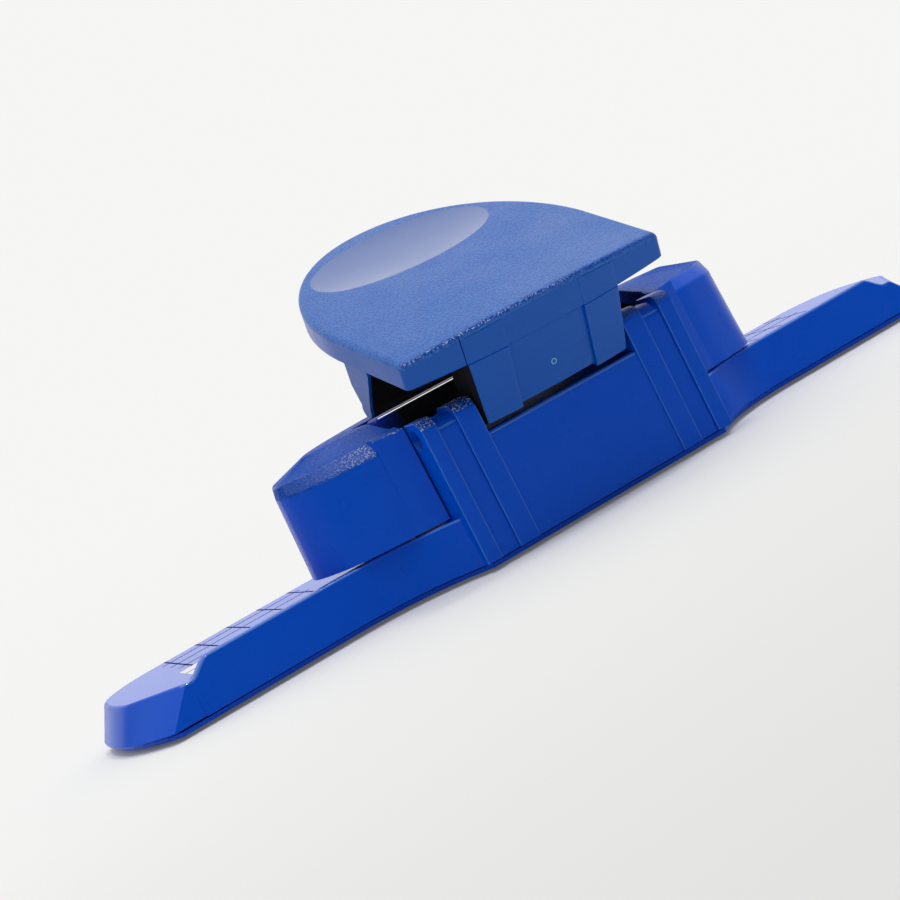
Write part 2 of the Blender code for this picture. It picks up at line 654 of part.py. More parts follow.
def make_base_tray(root):
    rings = []
    for level, height in ((0, SEAM_HEIGHT), (1, TABLE_HEIGHT)):
        rings.append([(x, -depth, height) for x, depth in tray_outline(level)])
    tray = loft("base_tray", rings, root, BLUE)
    round_edges(tray, TRAY_EDGE_ROUND)
    join(tray, make_back_wall(root))
    make_rear_frame(tray, root)
    low = SEAM_HEIGHT - OVERRUN
    cut(tray, plan_prism("wing_hollow", [cavity_outline(TRAY_WALL)], low, CAVITY_TOP, root))
    cut(tray, box("frame_hollow", -PILLAR_INNER_X + FRAME_HOLLOW_SIDE, PILLAR_INNER_X - FRAME_HOLLOW_SIDE,
                  PANEL_SETBACK + PANEL_THICKNESS, FENCE_DEPTH - FRAME_HOLLOW_SIDE, low,
                  FENCE_HEIGHT - HOUSING_WALL, root))
    boss_low = COVER_STEP_THICKNESS + SEAT_GAP
    for name, x, depth in mirrored_places(COVER_SCREW_PLACES):
        join(tray, rod("boss_" + name, COVER_BOSS_RADIUS, boss_low, CAVITY_TOP + LAP, root, at=(x, depth)))
        top = COVER_SCREW["low"] + COVER_SCREW["length"] + SEAT_GAP
        screw_bore(tray, COVER_SCREW, (x, depth), "boss_bore_" + name, root, top)
    pocket_low = DIE_BOTTOM - SEAT_GAP
    cut(tray, box("die_pocket", -DIE_HALF_LENGTH - SEAT_GAP, DIE_HALF_LENGTH + SEAT_GAP, DIE_BACK - SEAT_GAP,
                  DIE_FRONT + SEAT_GAP, pocket_low, TABLE_HEIGHT + OVERRUN, root))
    cut(tray, box("chip_shaft", -CHIP_HALF_LENGTH, CHIP_HALF_LENGTH, CHIP_BACK, CHIP_FRONT, low,
                  TABLE_HEIGHT, root))
    for name, x, depth in mirrored_places([(DIE_SCREW_X, depth) for depth in DIE_SCREW_DEPTHS]):
        radius = DIE_SCREW["shank"] + SCREW_CLEARANCE
        cut(tray, rod("die_bore_" + name, radius, low, TABLE_HEIGHT, root, at=(x, depth), sides=SCREW_STEPS))
    for name, x, depth in mirrored_places([HOUSING_SCREW_PLACE]):
        head_top = HOUSING_SCREW["low"] + HOUSING_SCREW["thick"] + SEAT_GAP
        cut(tray, rod("head_bore_" + name, HOUSING_SCREW["head"] + SEAT_GAP, low, head_top, root,
                      at=(x, depth)))
        screw_bore(tray, HOUSING_SCREW, (x, depth), "wall_bore_" + name, root, FENCE_HEIGHT + OVERRUN)
    return smooth(tray)


def cover_outline():
    """The tray's foot, drawn in by the cover's inset."""
    half = [(PILLAR_OUTER_X - COVER_INSET, COVER_INSET)]
    inset = COVER_INSET - WALL_DRAFT
    half += [(x, depth + inset) for x, depth, top in wall_stations()[2:COVE_STEPS + 2]]
    feet = [foot for foot, top in tip_rows()]
    half.append((feet[0][0] - COVER_INSET, feet[0][1] + inset))
    half += [(x - COVER_INSET, depth) for x, depth in feet[1:TIP_DIAGONAL_STEPS + TIP_ARC_STEPS]]
    corner = arc((0, 0), 1, 0.0, 90.0, TIP_CORNER_STEPS)
    half += [(x - COVER_INSET * along, depth - COVER_INSET * across)
             for (x, depth), (along, across) in zip(feet[TIP_DIAGONAL_STEPS + TIP_ARC_STEPS:], corner)]
    return both_sides(half)


def make_bottom_cover(root):
    cover = plan_prism("bottom_cover", [cover_outline()], 0.0, COVER_EDGE_THICKNESS, root, BLUE)
    step = cavity_outline(TRAY_WALL + COVER_STEP_GAP)
    join(cover, plan_prism("cover_step", [step], COVER_EDGE_THICKNESS / 2, COVER_STEP_THICKNESS, root))
    cut(cover, box("chip_exit", -CHIP_HALF_LENGTH - CHIP_SIDE, CHIP_HALF_LENGTH + CHIP_SIDE,
                   FENCE_DEPTH + TRAY_WALL + COVER_STEP_GAP + CHIP_SIDE, CHIP_FRONT + CHIP_SIDE, -OVERRUN,
                   COVER_STEP_THICKNESS + OVERRUN, root))
    for name, x, depth in mirrored_places([(FOOT_X, depth) for depth in FOOT_DEPTHS]):
        cut(cover, rod("foot_seat_" + name, FOOT_RADIUS + SEAT_GAP, -OVERRUN, FOOT_SUNK + SEAT_GAP, root,
                       at=(x, depth), sides=ROUND_SIDES))
    for name, x, depth in mirrored_places(COVER_SCREW_PLACES):
        top = COVER_SCREW["low"] + COVER_SCREW["thick"] + SEAT_GAP
        cut(cover, rod("head_seat_" + name, COVER_SCREW["head"] + SEAT_GAP, -OVERRUN, top, root, at=(x, depth)))
        screw_bore(cover, COVER_SCREW, (x, depth), "cover_bore_" + name, root, COVER_STEP_THICKNESS + OVERRUN)
    return smooth(cover)


def make_feet(root):
    for name, x, depth in mirrored_places([(FOOT_X, depth) for depth in FOOT_DEPTHS]):
        rim = FOOT_RADIUS - FOOT_ROUND
        profile = [(0, FOOT_SUNK), (FOOT_RADIUS, FOOT_SUNK), (FOOT_RADIUS, FOOT_ROUND - FOOT_PROUD),
                   (rim, -FOOT_PROUD), (0, -FOOT_PROUD)]
        turned("foot_" + name, profile, root, RUBBER, ROUND_SIDES, (x, -depth, 0))


def make_screw(name, screw, x, depth, root, upward=True):
    """A pan-head screw: driven up from below where its head is the low end, or down from above."""
    sign = 1 if upward else -1
    seat = screw["low"] + screw["thick"] * sign
    tip = screw["low"] + screw["length"] * sign
    profile = [(0, tip), (screw["shank"] * SCREW_TIP_SHARE, tip), (screw["shank"], tip - screw["shank"] * sign),
               (screw["shank"], seat), (screw["head"], seat), (screw["head"], screw["low"]), (0, screw["low"])]
    if not upward:
        profile.reverse()
    return turned(name, profile, root, ZINC, SCREW_STEPS, (x, -depth, 0))


def scallop_loop(clearance):
    """The scalloped tooth, or with a clearance the hole it enters."""
    half_pitch = SCALLOP_PITCH / 2
    rise = SCALLOP_BULGE
    radius = (half_pitch ** 2 + rise ** 2) / (2 * rise)
    swing = math.degrees(math.asin(half_pitch / radius))
    loop = [(-PATTERN_HALF - clearance, SCALLOP_BACK - clearance)]
    loop += [(PATTERN_HALF + clearance, SCALLOP_BACK - clearance)]
    loop += [(PATTERN_HALF + clearance, SCALLOP_WAIST)]
    for number in range(SCALLOP_COUNT):
        middle = PATTERN_HALF - (number + 0.5) * SCALLOP_PITCH
        centre = (middle, SCALLOP_WAIST + rise - radius)
        bend = arc(centre, radius + clearance, 90.0 - swing, 90.0 + swing, SCALLOP_STEPS)
        loop += bend[1:-1]
        if number < SCALLOP_COUNT - 1:
            loop.append((middle - half_pitch, SCALLOP_WAIST + clearance))
    loop.append((-PATTERN_HALF - clearance, SCALLOP_WAIST))
    return loop


def dot_places():
    return [(PATTERN_HALF - (number + 0.5) * SCALLOP_PITCH, DOT_DEPTH) for number in range(SCALLOP_COUNT)]


def diamond_places():
    return [(PATTERN_HALF - number * SCALLOP_PITCH, DIAMOND_DEPTH) for number in range(1, SCALLOP_COUNT)]


def pattern_loops(clearance):
    """All the loops of the cutting pattern."""
    loops = [scallop_loop(clearance)]
    for at in dot_places():
        loops.append(arc(at, DOT_RADIUS + clearance, 0.0, 360.0, DOT_SIDES)[:-1])
    for at in diamond_places():
        loops.append(arc(at, DIAMOND_RADIUS + clearance * DIAMOND_CLEARANCE_SHARE, 0.0, 360.0, 4)[:-1])
    return loops


def plate_loop(half_length, back, front):
    return [(-half_length, back), (half_length, back), (half_length, front), (-half_length, front)]


def make_die(root):
    loops = [plate_loop(DIE_HALF_LENGTH, DIE_BACK, DIE_FRONT)] + pattern_loops(CUT_CLEARANCE)
    die = plan_prism("die_plate", loops, DIE_BOTTOM, TABLE_HEIGHT, root, STEEL)
    for name, x, depth in mirrored_places([(DIE_SCREW_X, depth) for depth in DIE_SCREW_DEPTHS]):
        seat = DIE_SCREW["low"] - DIE_SCREW["thick"] - SEAT_GAP
        cut(die, rod("die_head_" + name, DIE_SCREW["head"] + SEAT_GAP, seat, TABLE_HEIGHT + OVERRUN, root,
                     at=(x, depth)))
        cut(die, rod("die_hole_" + name, DIE_SCREW["shank"] + SCREW_CLEARANCE, DIE_BOTTOM - OVERRUN,
                     TABLE_HEIGHT, root, at=(x, depth), sides=SCREW_STEPS))
        make_screw("die_screw_" + name, DIE_SCREW, x, depth, root, upward=False)


def housing_outline(inset, back_inset):
    """The D-shaped plan of the housing, drawn in by an inset at its sides and nose and another at its back."""
    width = HOUSING_HALF_WIDTH - inset
    half = [(0, HOUSING_BACK + back_inset)]
    for across_share, back_share in HOUSING_BACK_SHARES:
        half.append((width * across_share, HOUSING_BACK + HOUSING_SHOULDER * back_share + back_inset))
    shoulder = half[-1][1]
    for across_share, along_share in HOUSING_CORNER_SHARES:
        half.append((width * across_share, shoulder + (HOUSING_MIDDLE - shoulder) * along_share))
    nose = arc((0, 0), 1, 0.0, 90.0, HOUSING_NOSE_STEPS)
    half += [(width * across, HOUSING_MIDDLE + (HOUSING_NOSE - inset) * along) for across, along in nose[:-1]]
    half.append((0, HOUSING_MIDDLE + HOUSING_NOSE - inset))
    return both_sides(half)


def housing_rings(wall):
    """The housing's skin from below the slot to the plateau, or with a wall's thickness its inner skin."""
    levels = ((SLOT_TOP - OVERRUN - wall, 0.0, 0.0),
              (HOUSING_CHAMFER_HEIGHT - wall / 2, HOUSING_DRAFT, HOUSING_BACK_DRAFT),
              (HOUSING_SHOULDER_HEIGHT - wall, HOUSING_SHOULDER_INSET, HOUSING_CHAMFER_BACK),
              (HOUSING_TOP - wall, HOUSING_PLATEAU_INSET, HOUSING_PLATEAU_BACK))
    rings = []
    for height, inset, back_inset in levels:
        rings.append([(x, -depth, height) for x, depth in housing_outline(inset + wall, back_inset + wall)])
    return rings


def make_housing(root):
    housing = loft("housing", housing_rings(0.0), root, BLUE)
    round_edges(housing, HOUSING_EDGE_ROUND, ROUND_SEGMENTS, HOUSING_EDGE_ANGLE)
    cut(housing, loft("housing_hollow", housing_rings(HOUSING_WALL), root))
    cut(housing, box("slot_trim", -HOUSING_HALF_WIDTH - OVERRUN, HOUSING_HALF_WIDTH + OVERRUN, 0.0,
                     HOUSING_MIDDLE + HOUSING_NOSE + OVERRUN, SLOT_TOP - OVERRUN * 3, SLOT_TOP, root))
    for name, x, depth in mirrored_places([HOUSING_SCREW_PLACE]):
        join(housing, rod("seat_boss_" + name, HOUSING_BOSS_RADIUS, FENCE_HEIGHT + SEAT_GAP,
                          HOUSING_TOP - SEAT_BOSS_SINK, root, at=(x, depth)))
        screw_bore(housing, HOUSING_SCREW, (x, depth), "seat_bore_" + name, root,
                   HOUSING_SCREW["low"] + HOUSING_SCREW["length"] + SEAT_GAP)
        make_screw("housing_screw_" + name, HOUSING_SCREW, x, depth, root)
    for name, x, depth in mirrored_places(FLOOR_SCREW_PLACES):
        join(housing, rod("floor_boss_" + name, HOUSING_BOSS_RADIUS, FLOOR_TOP + SEAT_GAP,
                          HOUSING_TOP - FLOOR_BOSS_SINK, root, at=(x, depth)))
        screw_bore(housing, FLOOR_SCREW, (x, depth), "floor_boss_bore_" + name, root,
                   FLOOR_SCREW["low"] + FLOOR_SCREW["length"] + SEAT_GAP)
        make_screw("floor_screw_" + name, FLOOR_SCREW, x, depth, root)
    cut(housing, box("well", -WELL_HALF, WELL_HALF, -OVERRUN, WELL_FRONT, WELL_FLOOR,
                     HOUSING_TOP + OVERRUN, root))
    return smooth(housing)


def floor_outline():
    """The floor's plan: straight at the back, and a gap inside the housing's wall elsewhere."""
    inset = HOUSING_WALL + HOUSING_DRAFT / 2 + SEAT_GAP
    width = HOUSING_HALF_WIDTH - inset
    nose = arc((0, 0), 1, 0.0, 90.0, HOUSING_NOSE_STEPS)
    half = [(width * HOUSING_CORNER_SHARES[0][0], FLOOR_BACK), (width, FLOOR_SIDE_DEPTH)]
    half += [(width * across, HOUSING_MIDDLE + (HOUSING_NOSE - inset) * along) for across, along in nose[1:-1]]
    half.append((0, HOUSING_MIDDLE + HOUSING_NOSE - inset))
    return both_sides(half)


def make_housing_floor(root):
    window = plate_loop(CHIP_HALF_LENGTH, CHIP_BACK, CHIP_FRONT)
    floor = plan_prism("housing_floor", [floor_outline(), window], FLOOR_BOTTOM, FLOOR_TOP, root, DARK)
    cut(floor, box("stripper_seat", -STRIPPER_HALF_LENGTH - SEAT_GAP, STRIPPER_HALF_LENGTH + SEAT_GAP,
                   FLOOR_BACK - OVERRUN, STRIPPER_FRONT + SEAT_GAP, FLOOR_BOTTOM - OVERRUN,
                   FLOOR_BOTTOM + STRIPPER_THICKNESS + SEAT_GAP, root))
    for name, x, depth in mirrored_places([(POST_X, POST_DEPTH)]):
        cut(floor, rod("post_hole_" + name, POST_RADIUS + SEAT_GAP, FLOOR_BOTTOM - OVERRUN, FLOOR_TOP + OVERRUN,
                       root, at=(x, depth)))
        cut(floor, rod("spring_seat_" + name, SPRING_POCKET_RADIUS, FLOOR_TOP - SPRING_SEAT_SUNK,
                       FLOOR_TOP + OVERRUN, root, at=(x, depth)))
    for name, x, depth in mirrored_places(FLOOR_SCREW_PLACES):
        top = FLOOR_SCREW["low"] + FLOOR_SCREW["thick"] + SEAT_GAP
        cut(floor, rod("floor_head_" + name, FLOOR_SCREW["head"] + SEAT_GAP, FLOOR_BOTTOM - OVERRUN, top, root,
                       at=(x, depth)))
        screw_bore(floor, FLOOR_SCREW, (x, depth), "floor_bore_" + name, root, FLOOR_TOP + OVERRUN)
    loops = [plate_loop(STRIPPER_HALF_LENGTH, STRIPPER_BACK, STRIPPER_FRONT)] + pattern_loops(CUT_CLEARANCE)
    plan_prism("stripper_plate", loops, FLOOR_BOTTOM, FLOOR_BOTTOM + STRIPPER_THICKNESS, root, STEEL)


def make_posts_and_springs(root):
    """Each post stands in the floor, with a return spring round it up to the carrier's pocket."""
    for side, sign in (("left", -1), ("right", 1)):
        profile = [(0, POST_TOP), (POST_RADIUS - POST_CHAMFER, POST_TOP),
                   (POST_RADIUS, POST_TOP - POST_CHAMFER), (POST_RADIUS, FLOOR_BOTTOM), (0, FLOOR_BOTTOM)]
        turned("guide_post_" + side, profile, root, STEEL, BORE_SIDES, (POST_X * sign, -POST_DEPTH, 0))
        low = FLOOR_TOP - SPRING_SEAT_SUNK + SEAT_GAP + SPRING_WIRE
        high = CARRIER_BOTTOM + CARRIER_POCKET - SEAT_GAP - SPRING_WIRE
        points = []
        for step in range(SPRING_TURNS * SPRING_POINTS + 1):
            turn = step / SPRING_POINTS
            angle = turn * math.tau
            rise = low + (high - low) * turn / SPRING_TURNS
            points.append((SPRING_RADIUS * math.cos(angle), SPRING_RADIUS * math.sin(angle), rise))
        curve = bpy.data.curves.new("return_spring_" + side, "CURVE")
        curve.dimensions = "3D"
        curve.bevel_depth = SPRING_WIRE
        curve.bevel_resolution = SPRING_WIRE_STEPS
        curve.use_fill_caps = True
        spline = curve.splines.new("POLY")
        spline.points.add(len(points) - 1)
        for point, (x, y, z) in zip(spline.points, points):
            point.co = (x, y, z, 1)
        place("return_spring_" + side, curve, root, STEEL, (POST_X * sign, -POST_DEPTH, 0))
        print("spring gap between turns, mm", round(((high - low) / SPRING_TURNS - 2 * SPRING_WIRE) / MM, 2))


def make_carrier(root, slide):
    """The moulded beam that slides on the posts, its blades below and the pressure bar on top."""
    half = POST_X + CARRIER_END
    carrier = box("punch_carrier", -half, half, POST_DEPTH - CARRIER_SIDE, POST_DEPTH + CARRIER_SIDE,
                  CARRIER_BOTTOM, CARRIER_TOP, root, DARK)
    round_edges(carrier, CARRIER_ROUND, ROUND_SEGMENTS, BOX_EDGE_ANGLE)
    for name, x, depth in mirrored_places([(POST_X, POST_DEPTH)]):
        cut(carrier, rod("carrier_bore_" + name, POST_RADIUS + SEAT_GAP, CARRIER_BOTTOM, CARRIER_TOP + OVERRUN,
                         root, at=(x, depth)))
        cut(carrier, rod("spring_pocket_" + name, SPRING_POCKET_RADIUS, CARRIER_BOTTOM - OVERRUN,
                         CARRIER_BOTTOM + CARRIER_POCKET, root, at=(x, depth)))
    plate_top = CARRIER_BOTTOM - SEAT_GAP
    blades = box("punch_blades", -PATTERN_HALF - BLADE_PLATE_SIDE, PATTERN_HALF + BLADE_PLATE_SIDE,
                 SCALLOP_BACK - BLADE_PLATE_SIDE, DOT_DEPTH + DOT_RADIUS + BLADE_PLATE_SIDE,
                 plate_top - BLADE_PLATE, plate_top, root, STEEL)
    for number, loop in enumerate(pattern_loops(0.0)):
        join(blades, plan_prism(f"tooth_{number}", [loop], BLADE_TIP, plate_top - BLADE_PLATE / 2, root))
    bar = box("pressure_bar", -BAR_HALF_LENGTH, BAR_HALF_LENGTH, BAR_DEPTH - BAR_SIDE, BAR_DEPTH + BAR_SIDE,
              CARRIER_TOP + SEAT_GAP, BAR_TOP, root, DARK)
    round_edges(bar, SEAT_GAP, 1, BOX_EDGE_ANGLE)
    for piece in (carrier, blades, bar):
        ride(piece, slide)
    smooth(carrier)


def ride(piece, holder):
    """Hang a piece on an empty without moving it."""
    piece.parent = holder
    piece.location = piece.location - holder.location


def lever_outline(inset):
    """Plan of the lever's top as (x, reach): bowed back edge, almost straight sides, elliptical nose."""
    back_half = LEVER_BACK_HALF - inset
    half = []
    for step in range(LEVER_BACK_STEPS + 1):
        share = step / LEVER_BACK_STEPS
        half.append((back_half * share, inset - LEVER_BACK - LEVER_BOW * (1 - share ** 2)))
    for step in range(1, LEVER_SIDE_STEPS):
        share = step / LEVER_SIDE_STEPS
        width = back_half + (LEVER_HALF - LEVER_BACK_HALF) * share
        half.append((width, inset - LEVER_BACK + (LEVER_SHOULDER + LEVER_BACK - inset) * share))
    nose = arc((0, 0), 1, 0.0, 90.0, LEVER_NOSE_STEPS)
    reach = LEVER_FRONT - LEVER_SHOULDER - inset
    half += [((LEVER_HALF - inset) * across, LEVER_SHOULDER + reach * along) for across, along in nose[:-1]]
    half.append((0, LEVER_FRONT - inset))
    return both_sides(half)


def crown(x, reach):
    """How far the lever's top rises at the middle of its back, fading to its sides and nose."""
    along = (reach + LEVER_BACK + LEVER_BOW) / (LEVER_FRONT + LEVER_BACK + LEVER_BOW)
    return LEVER_CROWN * (1 - (x / LEVER_HALF) ** 2) * (1 - along)


def lever_ring(inset, drop):
    return [(x, -reach, LEVER_TOP + crown(x, reach) - drop) for x, reach in lever_outline(inset)]


def lever_rings(skin, low):
    """The lever's rim and top, or with a skin's thickness the hollow under it."""
    rings = [[(x, -reach, low) for x, reach in lever_outline(skin)], lever_ring(skin, skin + LEVER_ROUND)]
    rings.append(lever_ring(skin + LEVER_ROUND * ROUND_MIDDLE_SHARE, skin + LEVER_ROUND * ROUND_MIDDLE_SHARE))
    rings.append(lever_ring(skin + LEVER_ROUND, skin))
    rings += [lever_ring(LEVER_HALF * share, skin) for share in LEVER_RING_SHARES]
    return rings


def back_reach(x):
    """Reach of the lever's bowed back edge at x, behind the hinge axis."""
    return -LEVER_BACK - LEVER_BOW * (1 - (x / LEVER_BACK_HALF) ** 2)


def knuckle_ring(half_width, lean, rise):
    """Plan of the knuckle's back wall at one rise, with a shallow groove down its middle."""
    groove = KNUCKLE_GROOVE_HALF
    backs = [(-half_width, 0.0), (-(half_width + groove) / 2, 0.0), (-groove, 0.0), (-groove, KNUCKLE_GROOVE)]
    backs += [(0.0, KNUCKLE_GROOVE), (groove, KNUCKLE_GROOVE), (groove, 0.0), ((half_width + groove) / 2, 0.0)]
    backs += [(half_width, 0.0)]
    ring = [(x, -(back_reach(x) + lean + sunk), rise) for x, sunk in backs]
    ring += [(x, -(back_reach(x) + lean + KNUCKLE_WALL), rise) for x, sunk in reversed(backs) if sunk == 0.0]
    return ring


def make_lever(axis):
    """Top shell, knuckle with its two ears round the pin, presser plate with its gussets, thumb dimple."""
    rim_low = LEVER_TOP - LEVER_RIM
    lever = loft("lever", lever_rings(0.0, rim_low), axis, BLUE)
    cut(lever, loft("lever_hollow", lever_rings(LEVER_SKIN, rim_low - OVERRUN), axis))
    inside = LEVER_TOP - LEVER_SKIN + LAP
    knuckle = loft("knuckle", [knuckle_ring(KNUCKLE_HALF_BOTTOM, KNUCKLE_LEAN + KNUCKLE_FLUSH, KNUCKLE_BOTTOM),
                               knuckle_ring(KNUCKLE_HALF_TOP, KNUCKLE_FLUSH, rim_low),
                               knuckle_ring(KNUCKLE_HALF_TOP, KNUCKLE_TOP_FLUSH, inside)], axis)
    join(lever, knuckle)
    ear = [(KNUCKLE_FRONT, inside), (-LEVER_BACK, inside), (-LEVER_BACK, KNUCKLE_BOTTOM + SEAT_GAP)]
    ear += arc((0, 0), EAR_RADIUS, EAR_START_ANGLE, 360.0, EAR_STEPS)
    for side, sign in (("left", -1), ("right", 1)):
        low, high = sorted((KNUCKLE_HALF_BOTTOM * sign, (KNUCKLE_HALF_BOTTOM - EAR_WIDTH) * sign))
        join(lever, side_prism("ear_" + side, ear, low, high, axis))
    cut(lever, box("groove_foot", -KNUCKLE_GROOVE_HALF, KNUCKLE_GROOVE_HALF,
                   -LEVER_BACK - LEVER_BOW - OVERRUN, 0,
                   KNUCKLE_BOTTOM - OVERRUN, KNUCKLE_BOTTOM + KNUCKLE_GROOVE, axis))
    rise = LEVER_TOP - LEVER_SKIN * PRESSER_ROOT_SHARE
    nose = (PRESSER_NOSE_REACH, PRESSER_NOSE_RISE)
    bottom = arc(nose, PRESSER_NOSE_RADIUS, *PRESSER_NOSE_ANGLES, PRESSER_STEPS)
    back = PRESSER_FRONT - PRESSER_PLATE
    plate = [(PRESSER_FRONT, rise), (PRESSER_FRONT, PRESSER_KNEE)] + bottom
    plate += [(back, PRESSER_KNEE + SEAT_GAP), (back, rise)]
    join(lever, side_prism("presser", plate, -PRESSER_HALF, PRESSER_HALF, axis))
    gusset = [(back + LAP, rise), (GUSSET_BACK, rise), (GUSSET_BACK, GUSSET_RISE), bottom[-1], nose]
    gusset += [(back + LAP, PRESSER_KNEE)]
    for side, sign in (("left", -1), ("right", 1)):
        low, high = sorted(((PRESSER_HALF - LAP / 2) * sign, (PRESSER_HALF - GUSSET_WIDTH) * sign))
        join(lever, side_prism("gusset_" + side, gusset, low, high, axis))
    bm = bmesh.new()
    bmesh.ops.create_uvsphere(bm, u_segments=DIMPLE_SEGMENTS, v_segments=DIMPLE_RINGS, radius=1.0)
    cap_share = math.sqrt(1 - (1 - DIMPLE_SINK / DIMPLE_RADIUS_RISE) ** 2)
    size = Vector((DIMPLE_HALF_WIDTH / cap_share, DIMPLE_HALF_LENGTH / cap_share, DIMPLE_RADIUS_RISE))
    bmesh.ops.scale(bm, vec=size, verts=bm.verts)
    centre = (0, -DIMPLE_REACH, LEVER_TOP + crown(0, DIMPLE_REACH) + DIMPLE_RADIUS_RISE - DIMPLE_SINK)
    cut(lever, place("dimple", mesh_from(bm, "dimple"), axis, None, centre))
    cut(lever, cross_rod("ear_bore", BORE_RADIUS, KNUCKLE_HALF_TOP + OVERRUN, axis))
    return smooth(lever)


def make_pin(root):
    half = PILLAR_OUTER_X - PIN_END_INSET
    profile = [(0, half), (PIN_RADIUS - PIN_CHAMFER, half), (PIN_RADIUS, half - PIN_CHAMFER),
               (PIN_RADIUS, PIN_CHAMFER - half), (PIN_RADIUS - PIN_CHAMFER, -half), (0, -half)]
    pin = turned("hinge_pin", profile, root, STEEL, BORE_SIDES, (0, -HINGE_DEPTH, HINGE_HEIGHT))
    pin.rotation_euler = (0, math.pi / 2, 0)


root = empty("punch_root", None, (0, REAR_Y, FOOT_PROUD))
lever_axis = empty("lever_axis", root, (0, -HINGE_DEPTH, HINGE_HEIGHT), -math.radians(REST_PITCH))
punch_slide = empty("punch_slide", root, (0, -POST_DEPTH, CARRIER_BOTTOM))
make_base_tray(root)
make_bottom_cover(root)
make_feet(root)
for place_name, place_x, place_depth in mirrored_places(COVER_SCREW_PLACES):
    make_screw("cover_screw_" + place_name, COVER_SCREW, place_x, place_depth, root)
make_die(root)
make_housing(root)
make_housing_floor(root)
make_posts_and_springs(root)
make_carrier(root, punch_slide)
make_lever(lever_axis)
make_pin(root)
bpy.context.view_layer.update()
for holder in (lever_axis, punch_slide):
    print(holder.name, [round(value / MM, 3) for value in holder.matrix_world.translation])
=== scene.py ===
# %% [markdown]
# # A paper edge punch, dressed for the camera
# The punch is a desk machine: paper slides under a D-shaped housing, and a thumb lever drives a comb of teeth
# through it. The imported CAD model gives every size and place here. This script adds the finish: smooth moulded
# shells in place of the faceted ones, grained and worn plastic, ground steel, rubber, a floor, light and a camera.
# Sizes are written in millimetres as they would be read off a drawing, and turned into metres once, by MM.

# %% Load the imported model
import json
import math

import bpy
from mathutils import Matrix, Vector


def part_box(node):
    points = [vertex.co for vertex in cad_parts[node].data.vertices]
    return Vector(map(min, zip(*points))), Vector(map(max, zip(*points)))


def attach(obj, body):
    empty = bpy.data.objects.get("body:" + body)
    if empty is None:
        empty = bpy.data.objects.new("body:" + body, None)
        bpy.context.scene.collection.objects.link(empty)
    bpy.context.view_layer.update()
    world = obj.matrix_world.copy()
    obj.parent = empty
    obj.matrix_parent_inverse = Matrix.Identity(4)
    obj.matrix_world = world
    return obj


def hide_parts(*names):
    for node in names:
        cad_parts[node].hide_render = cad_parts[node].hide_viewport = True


MM = 0.001
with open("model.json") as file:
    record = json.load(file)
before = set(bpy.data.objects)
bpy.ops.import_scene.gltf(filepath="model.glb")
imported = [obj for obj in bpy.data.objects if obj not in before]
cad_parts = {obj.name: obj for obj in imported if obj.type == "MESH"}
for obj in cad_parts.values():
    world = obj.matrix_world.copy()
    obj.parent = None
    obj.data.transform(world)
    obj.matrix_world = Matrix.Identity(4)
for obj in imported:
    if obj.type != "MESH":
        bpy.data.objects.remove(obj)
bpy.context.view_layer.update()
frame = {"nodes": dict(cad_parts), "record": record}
nodes = frame["nodes"]

# %% [markdown]
# ## Where things are
# Two CAD nodes tie the drawing to the frame: the back of the tray's ribs is depth 0, and the underside of the
# bottom cover is height 0. Depth runs forward from there, towards the user at -Y. The lever has a frame of its
# own about the hinge pin, in which its top is level, so its shapes are drawn level and tipped back by its rest
# pitch at the end.

# %% Places in the drawing
REAR_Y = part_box("base_tray")[1].y
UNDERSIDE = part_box("bottom_cover")[0].z
HINGE_DEPTH, HINGE_HEIGHT = 3.9, 23.6
REST_PITCH = math.radians(23.1)
TO_ROW = Matrix.Translation((0, REAR_Y, UNDERSIDE)) @ Matrix.Diagonal((MM, -MM, MM, 1))
HINGE = TO_ROW @ Vector((0, HINGE_DEPTH, HINGE_HEIGHT))
LEVER_TO_ROW = (Matrix.Translation(HINGE) @ Matrix.Rotation(-REST_PITCH, 4, "X")
                @ Matrix.Diagonal((MM, -MM, MM, 1)))
print("hinge, mm", [round(value / MM, 2) for value in HINGE])

# %% [markdown]
# ## Materials
# The whole punch is one saturated blue plastic, but the mould gives it four finishes. Upright walls are smooth and
# semi-glossy. The tops have a fine leather grain, about 0.4 mm across, whose lighter tips are painted micro-glints.
# Where hands rub a grained edge its bumps are polished, and lighter specks on them, towards +X, are painted glints.
# Lighter blue on rounded edges is a painted highlight line. The thumb dimple and the paper table are smoother still.
# Every pattern is drawn from the object's own coordinates, in metres.

# %% Helpers for materials
def node(tree, kind, place=(0, 0), **settings):
    """Add a shader node and set its options by name."""
    made = tree.nodes.new(kind)
    made.location = place
    for key, value in settings.items():
        setattr(made, key, value)
    return made


def fresh_material(name, colour, roughness, metallic=0.0):
    """A node material with its plain values set on the shader."""
    made = bpy.data.materials.new(name)
    made.use_nodes = True
    shader = made.node_tree.nodes["Principled BSDF"]
    shader.inputs["Base Color"].default_value = (*colour, 1)
    shader.inputs["Roughness"].default_value = roughness
    shader.inputs["Metallic"].default_value = metallic
    made.diffuse_color = (*colour, 1)
    return made, made.node_tree, shader


def noise_of(tree, scale, detail=2.0, stretch=None):
    """Noise in object coordinates, so many cells to the metre, stretched along an axis where asked."""
    where = node(tree, "ShaderNodeTexCoord", (-1300, 0))
    noise = node(tree, "ShaderNodeTexNoise", (-900, 0))
    noise.inputs["Scale"].default_value = scale
    noise.inputs["Detail"].default_value = detail
    place = where.outputs["Object"]
    if stretch:
        mapping = node(tree, "ShaderNodeMapping", (-1100, 0))
        mapping.inputs["Scale"].default_value = stretch
        tree.links.new(place, mapping.inputs["Vector"])
        place = mapping.outputs["Vector"]
    tree.links.new(place, noise.inputs["Vector"])
    return noise.outputs["Fac"]


